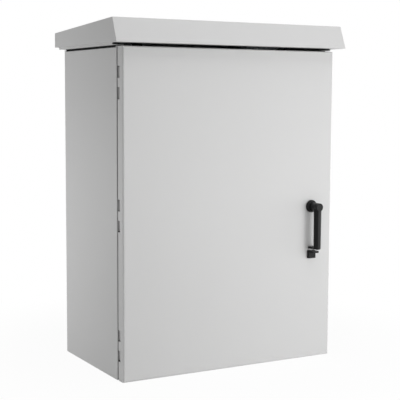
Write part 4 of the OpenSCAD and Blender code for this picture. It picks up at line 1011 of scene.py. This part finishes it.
@dataclass
class PowerField(Assembly):
    """Breakers and arrester on their rail, terminal strips, bus bars and lamp."""

    rail_edge: float = 0.2
    breaker_edge: float = 0.8
    toggle_edge: float = 0.3
    arrester_edge: float = 0.9
    strip_edge: float = 0.7
    bar_edge: float = 0.6
    insulator_edge: float = 1.4
    lamp_edge: float = 1.0
    cells: int = 12
    first_cell: float = 16.5
    cell_pitch: float = 19.0
    strip_z: tuple[float, ...] = (200.0, 152.0)
    strip_y: float = 121.0
    strip_row: float = 9.0
    bar_left: tuple[float, ...] = (-236.0, 66.0)
    bar_y: float = 113.0
    bar_z: float = 84.0
    bar_holes: int = 10
    first_hole: float = 8.5
    hole_pitch: float = 17.0
    pole_y: float = 89.5
    pole_z: float = 180.0
    pole_row: float = 33.0
    poles: tuple[float, ...] = (-217.2, -199.6, -181.6, -163.6, -98.5, -81.0, -63.5)
    terminal_screw: HeadSet = HeadSet(Head.PAN, 8.6, 2.8, 4.6, ZINC)
    bar_screw: HeadSet = HeadSet(Head.FLAT, 8.4, 3.4, 4.4, ZINC)
    pole_screw: HeadSet = HeadSet(Head.PAN, 6.4, 1.6, 4.0, ZINC)

    def build(self) -> None:
        """Builds the rail devices, the terminals, the bars and the lamp."""
        self.soften("din_rail", self.rail_edge, ZINC)
        for name in ("main", "signal", "service"):
            self.soften(f"{name}_breaker", self.breaker_edge, LIGHT)
            self.soften(f"{name}_toggle", self.toggle_edge, BLACK, ringed=True)
        self.soften("surge_arrester", self.arrester_edge, GREY)
        self.soften("upper_terminal_strip", self.strip_edge, BLACK)
        self.soften("lower_terminal_strip", self.strip_edge, BLACK)
        self.soften("ground_bar", self.bar_edge, BRASS)
        self.soften("neutral_bar", self.bar_edge, BRASS)
        self.soften("neutral_insulators", self.insulator_edge, INSULATOR, steps=3)
        self.soften("cabinet_lamp", self.lamp_edge, OPAL, steps=3)
        self.heads("terminal_screws", Body.CABINET, self.terminal_screw,
                   [Spot((self.first_cell + i * self.cell_pitch, self.strip_y, z + side))
                    for z in self.strip_z for side in (-self.strip_row, self.strip_row)
                    for i in range(self.cells)])
        self.heads("bus_bar_screws", Body.CABINET, self.bar_screw,
                   [Spot((x + self.first_hole + i * self.hole_pitch, self.bar_y, self.bar_z))
                    for x in self.bar_left for i in range(self.bar_holes)])
        self.heads("breaker_screws", Body.CABINET, self.pole_screw,
                   [Spot((x, self.pole_y, self.pole_z + side)) for x in self.poles
                    for side in (-self.pole_row, self.pole_row)])


@dataclass(frozen=True)
class Lamp:
    """A soft square lamp: where it hangs, the point it faces, its edge in metres and its watts."""

    name: str
    at: Point
    to: Point
    size: float
    watts: float

    def hang(self) -> None:
        """Hangs the lamp, unseen by the camera."""
        light = bpy.data.lights.new(self.name, "AREA")
        light.shape = "SQUARE"
        light.size = self.size
        light.energy = self.watts
        lamp = bpy.data.objects.new(self.name, light)
        lamp.visible_camera = False
        lamp.location = self.at
        lamp.rotation_euler = (Vector(self.to) - Vector(self.at)).to_track_quat("-Z", "Y").to_euler()
        bpy.context.scene.collection.objects.link(lamp)


@dataclass
class Studio:
    """The pale floor, the soft lights and the camera at the photograph's angle, in metres and degrees."""

    eye: Point = (-1.3109, -2.3768, 0.6862)
    yaw: float = 29.2077
    pitch: float = -5.8414
    roll: float = 0.2743
    lens: float = 92.50
    sensor: float = 36.0
    sky: float = 0.3
    floor_paint: str = "#E9E9E8"
    floor_radius: float = 14.0
    fade_start: float = 0.4
    fade_end: float = 0.9
    fade_least: float = 0.95
    lamps: tuple[Lamp, ...] = (
        Lamp("key_lamp", (0.75, -1.9, 0.42), (0.25, -0.2, 0.4), 1.8, 15.0),
        Lamp("low_lamp", (0.66, -1.62, 0.31), (0.32, -0.2, 0.16), 0.6, 5.5),
        Lamp("over_lamp", (0.0, -0.7, 2.4), (0.0, -0.2, 0.75), 1.2, 15.5),
        Lamp("right_lamp", (1.4, -0.62, 0.35), (0.24, -0.23, 0.33), 0.5, 3.0),
        Lamp("side_lamp", (-1.02, 0.52, 0.38), (-0.3, 0.2, 0.38), 0.5, 2.75),
    )

    def seen(self, tree: bpy.types.NodeTree) -> bpy.types.NodeSocket:
        """Tells what is looked at, straight, in gloss or through glass, from what only lights.

        Args:
            tree: the tree of the floor's paint or of the world.

        Returns:
            A socket that is one where the surface is looked at.
        """
        path = add(tree, "ShaderNodeLightPath")
        straight = add(tree, "ShaderNodeMath",
                       {0: path.outputs["Is Camera Ray"], 1: path.outputs["Is Glossy Ray"]},
                       operation="MAXIMUM")
        every = add(tree, "ShaderNodeMath",
                    {0: straight.outputs[0], 1: path.outputs["Is Transmission Ray"]}, operation="MAXIMUM")
        return every.outputs[0]

    def floor(self) -> None:
        """Lays a round floor that reads white and keeps the shadow near the object."""
        work = bmesh.new()
        bmesh.ops.create_circle(work, cap_ends=True, cap_tris=True, segments=96, radius=self.floor_radius)
        mesh = bpy.data.meshes.new("floor")
        work.to_mesh(mesh)
        work.free()
        floor = shown("floor", mesh)
        paint = bpy.data.materials.new("matt_white_floor_paint")
        paint.use_nodes = True
        tree = paint.node_tree
        tree.nodes.clear()
        place = add(tree, "ShaderNodeTexCoord")
        away = add(tree, "ShaderNodeVectorMath", {0: place.outputs["Object"]}, operation="LENGTH")
        fade = add(tree, "ShaderNodeMapRange",
                   {"Value": away.outputs["Value"], "From Min": self.fade_start, "From Max": self.fade_end,
                    "To Min": self.fade_least, "To Max": 1.0}, interpolation_type="SMOOTHSTEP")
        matt = add(tree, "ShaderNodeBsdfDiffuse", {"Color": linear(self.floor_paint)})
        white = add(tree, "ShaderNodeEmission", {"Color": WHITE, "Strength": 1.0})
        near = add(tree, "ShaderNodeMixShader",
                   {"Fac": fade.outputs["Result"], 1: matt.outputs["BSDF"], 2: white.outputs["Emission"]})
        both = add(tree, "ShaderNodeMixShader",
                   {"Fac": self.seen(tree), 1: matt.outputs["BSDF"], 2: near.outputs["Shader"]})
        add(tree, "ShaderNodeOutputMaterial", {"Surface": both.outputs["Shader"]})
        mesh.materials.append(paint)

    def sky_light(self) -> None:
        """Sets a world that is white to look at and lights the object evenly."""
        world = bpy.data.worlds.new("studio")
        world.use_nodes = True
        tree = world.node_tree
        tree.nodes.clear()
        level = add(tree, "ShaderNodeMapRange", {"Value": self.seen(tree), "To Min": self.sky, "To Max": 1.0})
        back = add(tree, "ShaderNodeBackground", {"Color": WHITE, "Strength": level.outputs["Result"]})
        add(tree, "ShaderNodeOutputWorld", {"Surface": back.outputs["Background"]})
        bpy.context.scene.world = world

    def camera(self) -> None:
        """Stands the camera where the photograph's straight edges put it."""
        data = bpy.data.cameras.new("camera")
        data.lens = self.lens
        data.sensor_width = self.sensor
        eye = bpy.data.objects.new("camera", data)
        eye.location = self.eye
        level = Euler((math.radians(90 + self.pitch), 0.0, math.radians(-self.yaw))).to_matrix()
        eye.rotation_euler = (level @ Matrix.Rotation(math.radians(self.roll), 3, "Z")).to_euler()
        bpy.context.scene.collection.objects.link(eye)
        bpy.context.scene.camera = eye

    def build(self) -> None:
        """Builds the whole studio."""
        self.camera()
        self.floor()
        self.sky_light()
        for lamp in self.lamps:
            lamp.hang()
        bpy.context.scene.view_settings.view_transform = "Standard"


def main() -> None:
    """Builds and dresses every sub-assembly, then the studio."""
    logging.basicConfig(level=logging.INFO, format="%(name)s: %(message)s")
    for part in (Enclosure(), Hinges(), Door(), Handle(), Latch(), ControlUnits(), LoadRack(), PowerField()):
        part.build()
        part.dress()
        LOG.info("%s: %d pieces", type(part).__name__, len(part.pieces))
    Studio().build()


if __name__ == "__main__":
    main()
